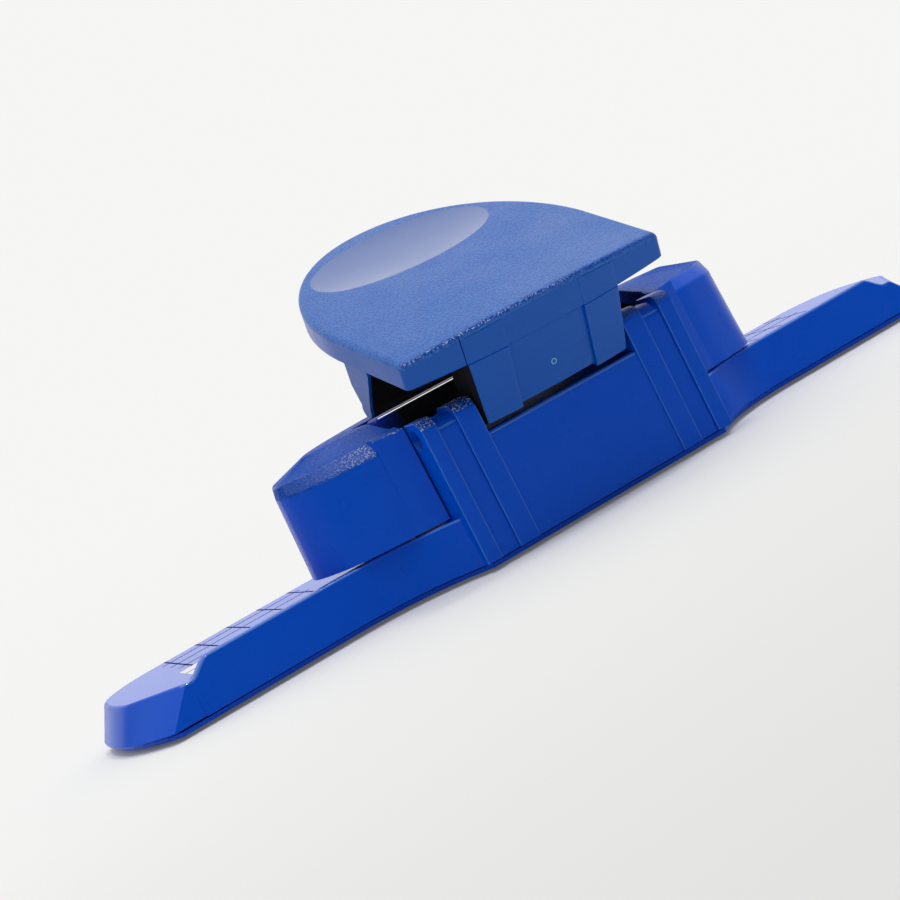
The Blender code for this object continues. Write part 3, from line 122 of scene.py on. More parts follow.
def spread(tree, value, low, high, start, end):
    """Map a value from one range onto another."""
    mapped = node(tree, "ShaderNodeMapRange", (-500, 0))
    for name, number in (("From Min", low), ("From Max", high), ("To Min", start), ("To Max", end)):
        mapped.inputs[name].default_value = number
    tree.links.new(value, mapped.inputs["Value"])
    return mapped.outputs["Result"]


def mixed(tree, mask, plain, other):
    """Mix two colours by a mask. Each is three numbers or a socket."""
    mix = node(tree, "ShaderNodeMix", (-300, 200), data_type="RGBA")
    for name, colour in (("A", plain), ("B", other)):
        if isinstance(colour, tuple):
            mix.inputs[name].default_value = (*colour, 1)
        else:
            tree.links.new(colour, mix.inputs[name])
    tree.links.new(mask, mix.inputs["Factor"])
    return mix.outputs["Result"]


def bumped(tree, shader, height, strength, distance):
    bump = node(tree, "ShaderNodeBump", (-200, -300))
    bump.inputs["Strength"].default_value = strength
    bump.inputs["Distance"].default_value = distance
    tree.links.new(height, bump.inputs["Height"])
    tree.links.new(bump.outputs["Normal"], shader.inputs["Normal"])


# %% Blue plastic in its finishes
BLUE_COLOUR = (0.0, 0.088, 0.66)
# The grain's pits are darker and its tips lighter; the lighter tips are painted micro-glints of the light.
PIT_COLOUR = (0.0, 0.075, 0.44)
TIP_GLINT_COLOUR = (0.01, 0.17, 0.6)
# The lighter speck colour below paints glints of the light on the grain's bumps.
GLINT_COLOUR = (0.42, 0.5, 0.78)
POLISHED_COLOUR = (0.07, 0.15, 0.46)
# The lighter blue of rounded edges is a painted highlight line, beside their real low roughness.
EDGE_HIGHLIGHT_COLOUR = (0.0, 0.13, 0.66)
# A glossier, lighter blue for roundings that face the light: partly real gloss, partly painted highlight.
GLOSS_HIGHLIGHT_COLOUR = (0.02, 0.15, 0.68)
SATIN_COLOUR = (0.0, 0.1, 0.5)
DEEP_TONES = ((0.0, 0.045, 0.36), (0.0, 0.1, 0.56))
# Along x, the painted glints fade in from the -X side and out again past the +X chamfer.
GLINT_START_X, GLINT_WHOLE_X, GLINT_FULL_X, GLINT_END_X = -14.0, 6.0, 31.0, 39.0


def blue_plastic(name, roughness, shine, grain=0.0, glint_level=None, colour=BLUE_COLOUR, tones=(PIT_COLOUR, TIP_GLINT_COLOUR)):
    """Blue plastic: grain is the depth of its leather grain in millimetres; above the glint level its grain bumps get
    lighter specks, painted glints of the light towards +X.
    """
    made, tree, shader = fresh_material(name, colour, roughness)
    shader.inputs["Specular IOR Level"].default_value = shine
    uneven = spread(tree, noise_of(tree, 90, 3.0), 0.35, 0.65, roughness - 0.04, roughness + 0.06)
    tree.links.new(uneven, shader.inputs["Roughness"])
    if grain:
        cells = noise_of(tree, 3300 if glint_level else 2600, 1.5)
        bumped(tree, shader, cells, 1.0, grain * MM)
        # Lighter grain tips stand for painted micro-glints; the pits are darker.
        tone = mixed(tree, spread(tree, cells, 0.38, 0.62, 0.0, 1.0), *tones)
        # The lighter specks on the grain's bumps, strongest towards +X, are painted glints of the light.
        if glint_level:
            where = node(tree, "ShaderNodeTexCoord", (-1300, 400))
            axes = node(tree, "ShaderNodeSeparateXYZ", (-1100, 400))
            tree.links.new(where.outputs["Object"], axes.inputs[0])
            reach = joined(tree, spread(tree, axes.outputs["X"], GLINT_FULL_X * MM, GLINT_END_X * MM, 1.0, 0.0),
                           spread(tree, axes.outputs["X"], GLINT_START_X * MM, GLINT_WHOLE_X * MM, 0.0, 1.0), "MULTIPLY")
            glint_specks = spread(tree, cells, glint_level, glint_level + 0.08, 0.0, 1.0)
            tone = mixed(tree, joined(tree, glint_specks, reach, "MULTIPLY"), tone, GLINT_COLOUR)
        tree.links.new(tone, shader.inputs["Base Color"])
    else:
        bumped(tree, shader, noise_of(tree, 260, 3.0), 0.1, 0.05 * MM)
    return made


def joined(tree, first, second, operation):
    """One value from two by a sum of any kind."""
    made = node(tree, "ShaderNodeMath", operation=operation)
    tree.links.new(first, made.inputs[0])
    tree.links.new(second, made.inputs[1])
    return made.outputs[0]


BLUES = [blue_plastic("blue_smooth", 0.26, 0.12), blue_plastic("blue_grained", 0.36, 0.42, 0.16),
         blue_plastic("blue_worn_glint", 0.28, 0.35, 0.22, 0.55, tones=DEEP_TONES),
         blue_plastic("blue_polished", 0.2, 1.0, colour=POLISHED_COLOUR),
         blue_plastic("blue_edge_highlight", 0.16, 0.5, colour=EDGE_HIGHLIGHT_COLOUR),
         blue_plastic("blue_matte", 0.46, 0.1, 0.3, tones=DEEP_TONES),
         blue_plastic("blue_satin", 0.28, 0.3, colour=SATIN_COLOUR),
         blue_plastic("blue_gloss_highlight", 0.1, 1.0, colour=GLOSS_HIGHLIGHT_COLOUR)]
SMOOTH, GRAINED, WORN_GLINT, POLISHED, EDGE, MATTE, SATIN, GLOSS_HIGHLIGHT, TABLE, SHADED = range(10)
print("blue finishes", len(BLUES))

# %% [markdown]
# The paper table on the wings carries a grid of fine engraved lines at the pitch of a quarter inch. The lines are
# dull, so at a glancing angle they stay dark while the glossy table around them mirrors the white room.

# %% Paper table with its engraved grid
GRID_PITCH = 6.35
GRID_START_X = 44.0
GRID_END_X = 70.8
GRID_FRONT_DEPTH = 45.0
LINE_HALF = 0.2
LONG_LINE_HALF = 0.32


def band(tree, value, centre, pitch, half):
    """1 where a value lies within half of one of a row of lines, else 0."""
    shifted = node(tree, "ShaderNodeMath", operation="SUBTRACT")
    shifted.inputs[1].default_value = centre * MM
    tree.links.new(value, shifted.inputs[0])
    folded = node(tree, "ShaderNodeMath", operation="PINGPONG")
    folded.inputs[1].default_value = pitch * MM / 2
    tree.links.new(shifted.outputs[0], folded.inputs[0])
    near = node(tree, "ShaderNodeMath", operation="LESS_THAN")
    near.inputs[1].default_value = half * MM
    tree.links.new(folded.outputs[0], near.inputs[0])
    return near.outputs[0]


def compared(tree, value, limit, operation):
    made = node(tree, "ShaderNodeMath", operation=operation)
    tree.links.new(value, made.inputs[0])
    made.inputs[1].default_value = limit * MM
    return made.outputs[0]


table, tree, shader = fresh_material("blue_table", BLUE_COLOUR, 0.24)
where = node(tree, "ShaderNodeTexCoord", (-1700, 300))
axes = node(tree, "ShaderNodeSeparateXYZ", (-1500, 300))
tree.links.new(where.outputs["Object"], axes.inputs[0])
across = node(tree, "ShaderNodeMath", (-1300, 300), operation="ABSOLUTE")
tree.links.new(axes.outputs["X"], across.inputs[0])
lines = joined(tree, band(tree, across.outputs[0], GRID_START_X, GRID_PITCH, LINE_HALF),
               band(tree, axes.outputs["Y"], REAR_Y / MM - GRID_FRONT_DEPTH, GRID_PITCH, LONG_LINE_HALF), "MAXIMUM")
reach = joined(tree, compared(tree, across.outputs[0], GRID_START_X - 1, "GREATER_THAN"),
               compared(tree, across.outputs[0], GRID_END_X, "LESS_THAN"), "MULTIPLY")
lines = joined(tree, lines, reach, "MULTIPLY")
tree.links.new(mixed(tree, lines, BLUE_COLOUR, (0.0, 0.012, 0.13)), shader.inputs["Base Color"])
tree.links.new(spread(tree, lines, 0, 1, 0.24, 0.8), shader.inputs["Roughness"])
tree.links.new(spread(tree, lines, 0, 1, 0.5, 0.02), shader.inputs["Specular IOR Level"])
BLUES.append(table)
# The cavity under the lever's top and the ears' sides lie in deep shade; this near-black finish paints that shade.
painted_shade, tree, shader = fresh_material("painted_shade_inside", (0.012, 0.012, 0.016), 0.6)
shader.inputs["Specular IOR Level"].default_value = 0.1
bumped(tree, shader, noise_of(tree, 1500, 2.0), 0.3, 0.05 * MM)
BLUES.append(painted_shade)
print("grid lines from", GRID_START_X, "to", GRID_END_X)

# %% [markdown]
# ## Shaping tools
# A moulded shell is drawn as its section is: a loop of points is laid out, extruded, and each new ring is put where
# the wall goes next. Pieces are then joined or cut with one another, their edges rounded, and their faces given
# a finish by where they lie.

# %% Helpers for shaping
def deselect_all():
    if bpy.context.object and bpy.context.object.mode != "OBJECT":
        bpy.ops.object.mode_set(mode="OBJECT")
    bpy.ops.object.select_all(action="DESELECT")


def take_up(piece):
    """Make a piece the only one selected, and active."""
    deselect_all()
    piece.select_set(True)
    bpy.context.view_layer.objects.active = piece
    return piece


def named(name, slots):
    """Name the newest object, and give it its materials."""
    piece = bpy.context.object
    piece.name = piece.data.name = name
    for slot in slots:
        piece.data.materials.append(slot)
    return piece


def stack(name, rings, to_row=TO_ROW, slots=BLUES):
    """A loop of vertices extruded ring by ring, with both ends filled."""
    deselect_all()
    count = len(rings[0])
    bpy.ops.mesh.primitive_circle_add(vertices=count, radius=1, fill_type="NOTHING", location=(0, 0, 0))
    piece = named(name, slots)
    for number, ring in enumerate(rings):
        if number:
            bpy.ops.object.mode_set(mode="EDIT")
            bpy.ops.mesh.extrude_region_move()
            bpy.ops.object.mode_set(mode="OBJECT")
        for index, point in enumerate(ring):
            piece.data.vertices[number * count + index].co = to_row @ Vector(point)
    bpy.ops.object.mode_set(mode="EDIT")
    bpy.ops.mesh.select_all(action="SELECT")
    bpy.ops.mesh.fill_holes(sides=0)
    bpy.ops.mesh.normals_make_consistent(inside=False)
    bpy.ops.object.mode_set(mode="OBJECT")
    return piece


def side_bar(name, profile, left, right, to_row=TO_ROW, slots=BLUES):
    """A side profile of (depth, height), extruded along the punch from one x to another."""
    return stack(name, [[(x, depth, height) for depth, height in profile] for x in (left, right)], to_row, slots)


def slab(name, left, right, back, front, low, high, slots=BLUES):
    """A plain block between two x, two depths and two heights."""
    deselect_all()
    middle = TO_ROW @ Vector(((left + right) / 2, (back + front) / 2, (low + high) / 2))
    bpy.ops.mesh.primitive_cube_add(size=MM, location=middle, scale=(right - left, front - back, high - low))
    bpy.ops.object.transform_apply(location=True, rotation=True, scale=True)
    return named(name, slots)


def peg(name, radius, low, high, x, depth, sides=40, slots=BLUES):
    """An upright cylinder."""
    deselect_all()
    middle = TO_ROW @ Vector((x, depth, (low + high) / 2))
    bpy.ops.mesh.primitive_cylinder_add(vertices=sides, radius=radius * MM, depth=(high - low) * MM, location=middle)
    bpy.ops.object.transform_apply(location=True, rotation=True, scale=True)
    return named(name, slots)


def cross_peg(name, radius, half, at, sides=40, slots=BLUES):
    """A cylinder along the punch, centred on a point of the frame."""
    deselect_all()
    bpy.ops.mesh.primitive_cylinder_add(vertices=sides, radius=radius * MM, depth=half * 2 * MM, location=at,
                                        rotation=(0, math.pi / 2, 0))
    bpy.ops.object.transform_apply(location=True, rotation=True, scale=True)
    return named(name, slots)


def combine(piece, other, operation):
    """Join another piece to this one, or cut it away, and drop it."""
    take_up(piece)
    step = piece.modifiers.new(operation.lower(), "BOOLEAN")
    step.operation = operation
    step.solver = "MANIFOLD"
    step.object = other
    bpy.ops.object.modifier_apply(modifier=step.name)
    bpy.data.objects.remove(other)
    return piece


def round_where(piece, test, width, segments=3, finish=-1, from_row=TO_ROW.inverted()):
    """Bevel the edges whose two ends pass a test of their places in the drawing."""
    take_up(piece)
    bpy.ops.object.mode_set(mode="EDIT")
    bpy.ops.mesh.select_mode(type="EDGE")
    bpy.ops.mesh.select_all(action="DESELECT")
    bpy.ops.object.mode_set(mode="OBJECT")
    chosen = 0
    for edge in piece.data.edges:
        ends = [from_row @ piece.data.vertices[index].co for index in edge.vertices]
        edge.select = test(*ends)
        chosen += edge.select
    bpy.ops.object.mode_set(mode="EDIT")
    bpy.ops.mesh.bevel(offset=width * MM, segments=segments, material=finish, clamp_overlap=False)
    bpy.ops.object.mode_set(mode="OBJECT")
    print(piece.name, "rounded edges", chosen)
    return piece


def paint(piece, slot, test, from_row=TO_ROW.inverted(), only=None):
    """Give a finish to the faces whose middle, in the drawing, and normal, in the frame, pass a test."""
    for face in piece.data.polygons:
        if only in (None, face.material_index) and test(from_row @ face.center, face.normal):
            face.material_index = slot


def crease_round(piece, slot):
    """Keep a crisp edge round the faces of one finish."""
    sides = {}
    for face in piece.data.polygons:
        for key in face.edge_keys:
            sides.setdefault(key, []).append(face.material_index == slot)
    for edge in piece.data.edges:
        if len(set(sides[edge.key])) == 2:
            edge.use_edge_sharp = True


def dressed(piece, body, *replaced, angle=32, crisp=POLISHED):
    """Weld a shell, shade it, keep its flat faces flat, and let it stand for its CAD node."""
    take_up(piece)
    bpy.ops.object.mode_set(mode="EDIT")
    bpy.ops.mesh.select_mode(type="VERT")
    bpy.ops.mesh.select_all(action="SELECT")
    bpy.ops.mesh.remove_doubles(threshold=0.002 * MM)
    bpy.ops.mesh.normals_make_consistent(inside=False)
    bpy.ops.object.mode_set(mode="OBJECT")
    bpy.ops.object.shade_smooth_by_angle(angle=math.radians(angle))
    crease_round(piece, crisp)
    weigh =piece.modifiers.new("weigh", "WEIGHTED_NORMAL")
    weigh.keep_sharp = True
    bpy.ops.object.modifier_apply(modifier=weigh.name)
    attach(piece, body)
    if replaced:
        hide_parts(*replaced)
    print(piece.name, len(piece.data.polygons), "faces")
    return piece


def bow(centre, radius, start, end, steps):
    """Points along an arc, from one angle in degrees to another."""
    turns = [math.radians(start + (end - start) * step / steps) for step in range(steps + 1)]
    return [(centre[0] + radius * math.cos(turn), centre[1] + radius * math.sin(turn)) for turn in turns]


def mirrored(half):
    """A closed loop from its right half, which runs from the back to the front."""
    return half + [(-x, depth) for x, depth in reversed(half) if x > 0.001]


def swell(points, steps):
    """A smooth curve through points, without its last one."""
    ends = [points[0]] + list(points) + [points[-1]]
    curve = []
    for before, start, end, after in zip(ends, ends[1:], ends[2:], ends[3:]):
        for step in range(steps):
            t = step / steps
            curve.append(tuple(0.5 * (2 * b + (c - a) * t + (2 * a - 5 * b + 4 * c - d) * t ** 2
                                      + (3 * b - a - 3 * c + d) * t ** 3)
                               for a, b, c, d in zip(before, start, end, after)))
    return curve


# %% [markdown]
# ## The base tray
# One moulding makes both wings, the low fence the paper stops against, and the frame that holds the hinge pin.
# The wings' tips are rounded and lean in towards the table. The fence sweeps out of the frame in a wide cove and
# runs down to the table near the tip.

# %% The two wings
SEAM, TABLE_TOP, FENCE_TOP = 1.0, 7.05, 9.5
TRAY_FRONT = 50.5
TIP_REACH, TIP_RADIUS, TIP_DEPTH = 86.7, 41.0, 34.0
WALL_DEPTH, FENCE_DEPTH = 12.2, 14.2
FENCE_END_X, RAMP_END_X = 69.5, 74.0
RIB_OUTER_X = 25.4


def tip_reach(depth):
    return TIP_REACH - TIP_RADIUS + math.sqrt(TIP_RADIUS ** 2 - (depth - TIP_DEPTH) ** 2)


def tip_rows():
    """Points round a tip, back to front, each at the seam and at the table."""
    rows = []
    bend_x = tip_reach(24.9) - 3.2
    for step in range(12):
        share = step / 12
        foot_depth = 11.5 + (24.9 - 11.5) * share
        top = (74.6 + (bend_x - 74.6) * share, 12.4 + (24.9 - 12.4) * share)
        rows.append(((tip_reach(foot_depth), foot_depth), top))
    for step in range(12):
        depth = 24.9 + (39.5 - 24.9) * step / 12
        rows.append(((tip_reach(depth), depth), (tip_reach(depth) - 3.2, depth)))
    start_x = tip_reach(39.5) - 14.0
    for along, aside in bow((0, 0), 1, 0.0, 90.0, 14):
        foot = (start_x + 14.0 * along, 39.5 + (TRAY_FRONT - 39.5) * aside)
        rows.append((foot, (foot[0] - 3.2 * along, foot[1] - 0.4 * aside)))
    return rows


rings = []
for level, height in ((0, SEAM), (1, TABLE_TOP)):
    half = [(FENCE_END_X, WALL_DEPTH + 0.5), (RAMP_END_X, (11.5, 12.3)[level])]
    half += [row[level] for row in tip_rows()]
    rings.append([(x, depth, height) for x, depth in mirrored(half)])
tray = stack("tray_shell", rings)
round_where(tray, lambda a, b: abs(a.z - b.z) < 0.1 and (a.y > 12.75 or b.y > 12.75 or abs(a.x + b.x) > 148), 0.4, 3)

# %% The fence, swept from one end to the other
cove = bow((46.0, WALL_DEPTH - 26.4), 26.4, math.degrees(math.acos((RIB_OUTER_X - 46.0) / 26.4)), 90.0, 24)
stations = [(0, cove[0][1], FENCE_TOP)] + [(x, depth, FENCE_TOP) for x, depth in cove]
for step in range(15):
    share = step / 14
    fall = share * share * (3 - 2 * share)
    stations.append((FENCE_END_X + (RAMP_END_X - FENCE_END_X) * share, WALL_DEPTH,
                     FENCE_TOP + (TABLE_TOP - 0.05 - FENCE_TOP) * fall))
rings = []
for x, depth, top in [(-x, depth, top) for x, depth, top in reversed(stations[1:])] + stations:
    along = min(max((abs(x) - FENCE_END_X) / (RAMP_END_X - FENCE_END_X), 0.0), 1.0)
    edge = 0.5 + 0.35 * math.sin(math.pi * along)
    profile = [(depth - 0.8, SEAM)] + bow((depth + edge, top - edge), edge, 180.0, 90.0, 6)
    profile += bow((FENCE_DEPTH - 0.3, top - 0.3), 0.3, 90.0, 0.0, 3) + [(FENCE_DEPTH, SEAM)]
    rings.append([(x, back, height) for back, height in profile])
combine(tray, stack("fence", rings), "UNION")
print("tray and fence", len(tray.data.polygons), "faces")

# %% The frame for the hinge pin
panel = [(0.3, SEAM)] + bow((1.1, 18.9), 0.8, 180.0, 90.0, 6) + [(2.9, 19.7), (2.9, SEAM)]
combine(tray, side_bar("panel", panel, -15.5, 15.5), "UNION")


def rib_profile(setback, top, radius):
    return ([(setback, SEAM)] + bow((setback + radius, top - radius), radius, 180.0, 90.0, 12)
            + [(6.2, top), (9.0, 8.0), (9.0, SEAM)])


for sign in (-1, 1):
    for near, far, proud in ((15.0, 19.0, True), (18.5, 23.0, False), (22.5, RIB_OUTER_X, True)):
        profile = rib_profile(0.0, 26.5, 2.2) if proud else rib_profile(0.5, 25.8, 2.8)
        low, high = sorted((near * sign, far * sign))
        rib = side_bar("rib", profile, low, high)
        # The proud ribs' rounded upright edges get the edge finish, a painted highlight line.
        if proud:
            round_where(rib, lambda a, b: abs(a.x - b.x) < 0.1 and max(a.y, b.y) < 6.5 and min(a.z, b.z) > 0.9
                        and not (a.z < 1.1 and b.z < 1.1), 0.22, 2, EDGE)
        combine(tray, rib, "UNION")
combine(tray, cross_peg("pin_bore", 1.8, 26.4, HINGE), "DIFFERENCE")

# %% Hollows, bosses and bores under the tray
wing_hollow = mirrored([(72.0, 16.8), (80.9, 24.9), (80.9, 39.5), (66.9, 47.9)])
hollow = stack("wing_hollow", [[(x, depth, height) for x, depth in wing_hollow] for height in (0.0, 3.95)])
combine(tray, hollow, "DIFFERENCE")
combine(tray, slab("frame_hollow", -13.5, 13.5, 2.9, 12.7, 0.0, 7.5), "DIFFERENCE")
for sign in (-1, 1):
    for x, depth in ((60.0, 33.0), (38.0, 44.4), (38.0, 21.5)):
        combine(tray, peg("boss", 2.6, 1.9, 4.45, x * sign, depth), "UNION")
        combine(tray, peg("boss_bore", 1.2, 0.5, 4.4, x * sign, depth), "DIFFERENCE")
combine(tray, slab("die_pocket", -26.0, 26.0, 14.8, 31.2, 5.45, 8.05), "DIFFERENCE")
combine(tray, slab("chip_shaft", -21.4, 21.4, 15.9, 28.0, 0.0, TABLE_TOP), "DIFFERENCE")
for sign in (-1, 1):
    for depth in (17.4, 28.6):
        combine(tray, peg("die_bore", 1.0, 0.0, TABLE_TOP, 23.7 * sign, depth, 20), "DIFFERENCE")
    combine(tray, peg("head_bore", 2.6, 0.0, 3.9, 31.0 * sign, 10.9), "DIFFERENCE")
    combine(tray, peg("wall_bore", 1.3, 1.2, 10.5, 31.0 * sign, 10.9, 24), "DIFFERENCE")
paint(tray, TABLE, lambda at, way: way.z > 0.99 and abs(at.z - TABLE_TOP) < 0.02)
# Roundings of the fence and panel that face back and up get the gloss finish; its lighter blue is a painted highlight.
paint(tray, GLOSS_HIGHLIGHT, lambda at, way: 0.2 < way.z < 0.98 and way.y > 0.1 and 6.5 < at.z < 24.2 and at.y < 13.5)
# The ribs' rounded tops get the worn finish, with its painted glints.
paint(tray, WORN_GLINT, lambda at, way: at.z > 24.2 and abs(at.x) < 26 and at.y < 2.0 and way.z > 0.25 and
      (15 < abs(at.x) < 19 or abs(at.x) > 22.5))
dressed(tray, "base", "base_tray")

# %% [markdown]
# ## The housing
# The D-shaped housing is one shell with a chamfer all round and a grained top that rises to a small plateau. Its
# back stays open in the middle, where the lever's presser goes in.

# %% Housing shell
HOUSING_HALF = 45.9
PILASTER_X = 25.8
HOUSING_LOW = 9.9
SHOULDER_DEPTH, MIDDLE_DEPTH, NOSE_LENGTH = 11.0, 20.5, 28.5
BACK_CURVE = ((26.5, 5.2), (30.0, 6.8), (34.0, 8.0), (38.0, 9.7), (40.5, 11.0), (42.4, 12.9), (44.1, 15.65),
              (45.3, 18.2), (45.9, 20.5))


def housing_outline(inset, back_inset):
    """The plan, drawn in by one inset at the sides and nose, and by another at the back."""
    width = (HOUSING_HALF - inset) / HOUSING_HALF
    half = [(0, 5.2 + back_inset), (13.0, 5.2 + back_inset)]
    for x, depth in swell(BACK_CURVE, 5):
        fade = min(1.0, max(0.0, (MIDDLE_DEPTH - depth) / (MIDDLE_DEPTH - SHOULDER_DEPTH)))
        half.append((x * width, max(half[-1][1], depth + back_inset * fade)))
    half += [(HOUSING_HALF * width * along, max(half[-1][1], MIDDLE_DEPTH + (NOSE_LENGTH - inset) * aside))
             for aside, along in [(math.sin(turn), math.cos(turn))
                                  for turn in [math.radians(90 * step / 40) for step in range(40)]]]
    half.append((0, MIDDLE_DEPTH + NOSE_LENGTH - inset))
    return mirrored(half)


def softened(levels, cut):
    """Levels with each corner between them turned into a short curve."""
    soft = [levels[0]]
    for before, corner, after in zip(levels, levels[1:], levels[2:]):
        start, end = [corner + (other - corner) * min(0.45, cut / (other - corner).length)
                      for other in (before, after)]
        soft += [start.lerp(corner, t).lerp(corner.lerp(end, t), t) for t in (0.0, 0.25, 0.5, 0.75, 1.0)]
    return soft + [levels[-1]]


def housing_rings(wall):
    levels = [Vector(level) for level in ((9.2 - wall, 0.0, 0.0), (24.5 - wall / 2, 0.6, 0.5),
                                          (26.7 - wall, 1.0, 3.0), (28.9 - wall, 8.0, 11.0), (28.9 - wall, 9.5, 12.5))]
    return [[(x, depth, height) for x, depth in housing_outline(inset + wall, back_inset + wall)]
            for height, inset, back_inset in (levels if wall else softened(levels, 0.5))]


housing = stack("housing_shell", housing_rings(0.0))
combine(housing, stack("housing_hollow", housing_rings(2.0)), "DIFFERENCE")
combine(housing, slab("slot_trim", -47, 47, 0.0, 51, 6.0, HOUSING_LOW), "DIFFERENCE")
well_wall = [(7.2, 13.6), (7.2, 24.5), (9.2, 26.2), (15.5, 27.9), (15.5, 13.6)]
for sign in (-1, 1):
    face = [((PILASTER_X, 5.15), (PILASTER_X, 5.55)), ((28.6, 6.15), (28.6, 6.5)), ((30.9, 7.15), (30.9, 7.45))]
    rings = []
    for (x, foot), (same, top) in face:
        roof = 26.75 + (top - 7.0) * 0.2
        rings.append([(x * sign, back, height) for back, height in
                      [(foot, HOUSING_LOW), (top, roof - 0.4)] + bow((top + 0.4, roof - 0.4), 0.4, 170.0, 90.0, 4)
                      + [(10.9, 26.87), (10.9, HOUSING_LOW)]])
    combine(housing, stack("pilaster", rings), "UNION")
    low, high = sorted((26.0 * sign, 27.7 * sign))
    combine(housing, side_bar("well_wall", well_wall, low, high), "UNION")
    combine(housing, peg("seat_boss", 2.4, 9.8, 25.1, 31.0 * sign, 10.9), "UNION")
    combine(housing, peg("seat_bore", 1.3, 1.2, 14.5, 31.0 * sign, 10.9, 24), "DIFFERENCE")
    for x, depth in ((39.0, MIDDLE_DEPTH + NOSE_LENGTH * 0.05), (25.0, MIDDLE_DEPTH + NOSE_LENGTH * 0.58)):
        combine(housing, peg("floor_boss", 2.4, 13.7, 27.1, x * sign, depth), "UNION")
        combine(housing, peg("floor_bore", 1.1, 9.8, 17.1, x * sign, depth, 24), "DIFFERENCE")
combine(housing, slab("well", -26.47, 26.47, 9.5, 27.03, 9.0, 30.0), "DIFFERENCE")
combine(housing, slab("well_mouth", -PILASTER_X, PILASTER_X, -1.0, 12.0, 9.0, 30.0), "DIFFERENCE")
paint(housing, MATTE, lambda at, way: way.z > 0.1 and at.z > 24.3 and abs(at.x) < 46)
paint(housing, MATTE, lambda at, way: abs(way.x) > 0.9 and abs(at.x) < 26.6 and at.y > 5.0)
# The chamfer gets the worn finish, whose lighter specks are painted glints; behind the -X pilaster it stays smooth,
# where no glint falls.
paint(housing, WORN_GLINT, lambda at, way: 0.25 < way.z < 0.9 and at.z > 24.3)
paint(housing, SMOOTH, lambda at, way: 0.25 < way.z < 0.9 and at.x < -PILASTER_X and at.y < 14.0)
dressed(housing, "base", "housing")

# %% [markdown]
# ## The lever
# The thumb lever is a shell with a rounded rim, a slightly crowned grained top and a smooth oval dimple for the
# thumb. A knuckle at its back carries two ears round the hinge pin, and a presser under it pushes the punch.

# %% Lever shell
LEVER_TOP, LEVER_RIM_LOW = 14.6, 10.1
LEVER_BACK, LEVER_BOW = 3.6, 2.4
LEVER_BACK_HALF, LEVER_HALF = 25.6, 26.3
LEVER_SHOULDER, LEVER_FRONT = 18.7, 56.9
DIMPLE_REACH, DIMPLE_HALF, DIMPLE_WIDE = 40.0, 18.0, 12.0
DIMPLE_SINK, DIMPLE_RISE = 1.1, 5.0
FROM_LEVER = LEVER_TO_ROW.inverted()


def back_reach(x):
    return -LEVER_BACK - LEVER_BOW * (1 - (x / LEVER_BACK_HALF) ** 2)


def lever_outline(inset):
    """Plan of the lever: bowed back edge, rounded corner, almost straight side, long elliptical nose."""
    width = LEVER_BACK_HALF - inset
    half = [(width * step / 24, inset + back_reach(LEVER_BACK_HALF * step / 24)) for step in range(24)]
    corner = (width, inset - LEVER_BACK)
    start = (corner[0] - 0.8, corner[1] - 0.15)
    end = (corner[0] + 0.03, corner[1] + 0.8)
    for step in range(6):
        t = step / 5
        half.append(tuple(a * (1 - t) ** 2 + 2 * b * t * (1 - t) + c * t ** 2
                          for a, b, c in zip(start, corner, end)))
    for step in range(1, 12):
        share = step / 12
        half.append((width + (LEVER_HALF - LEVER_BACK_HALF) * share,
                     corner[1] + (LEVER_SHOULDER - corner[1]) * share))
    for step in range(48):
        turn = math.radians(90 * step / 48)
        half.append(((LEVER_HALF - inset) * math.cos(turn),
                     LEVER_SHOULDER + (LEVER_FRONT - LEVER_SHOULDER - inset) * math.sin(turn)))
    half.append((0, LEVER_FRONT - inset))
    return mirrored(half)


def crown(x, reach):
    """How far the top rises at the middle of its back, fading to its sides and nose."""
    length = LEVER_FRONT + LEVER_BACK + LEVER_BOW
    return 1.6 * (1 - (x / LEVER_HALF) ** 2) * (1 - (reach + LEVER_BACK + LEVER_BOW) / length)


def lever_ring(inset, drop, share=1.0):
    """A ring that follows the crowned top, a drop below it, shrunk to a share of itself."""
    ring = [(x * share, 26.0 + (reach - 26.0) * share) for x, reach in lever_outline(inset)]
    return [(x, reach, LEVER_TOP + crown(x, reach) - drop) for x, reach in ring]


def on_top(point, sink=0.0):
    """A point of the plan put on the crowned top, or sunk below it."""
    return point.x, point.y, LEVER_TOP + crown(point.x, point.y) - sink


def dimple_sink(share):
    """Depth of the dimple at a share of the way from its middle to its rim."""
    cap = 1 - (1 - DIMPLE_SINK / DIMPLE_RISE) ** 2
    return DIMPLE_RISE * (math.sqrt(1 - share * share * cap) - math.sqrt(1 - cap))


rings = [lever_ring(2.8, 2.0, share) for share in (0.3, 0.65, 1.0)] + [lever_ring(2.0, 2.8)]
rings += [[(x, reach, LEVER_RIM_LOW) for x, reach in lever_outline(inset)] for inset in (2.0, 0.25)]
rings += [[(x, reach, LEVER_RIM_LOW + 0.25) for x, reach in lever_outline(0.0)]]
for step in range(7):
    turn = math.radians(15 * step)
    rings.append(lever_ring(1.0 - math.cos(turn), 1.0 - math.sin(turn)))
rim = [Vector((x, reach)) for x, reach in lever_outline(1.0)]
oval = []
for point in rim:
    arm = point - Vector((0, DIMPLE_REACH))
    oval.append(Vector((0, DIMPLE_REACH)) + arm / math.hypot(arm.x / DIMPLE_HALF, arm.y / DIMPLE_WIDE))
for share in (0.03, 0.08, 0.15, 0.24, 0.34, 0.45, 0.56, 0.67, 0.78, 0.88, 0.95, 1.0):
    rings.append([on_top(outer.lerp(inner, share)) for outer, inner in zip(rim, oval)])
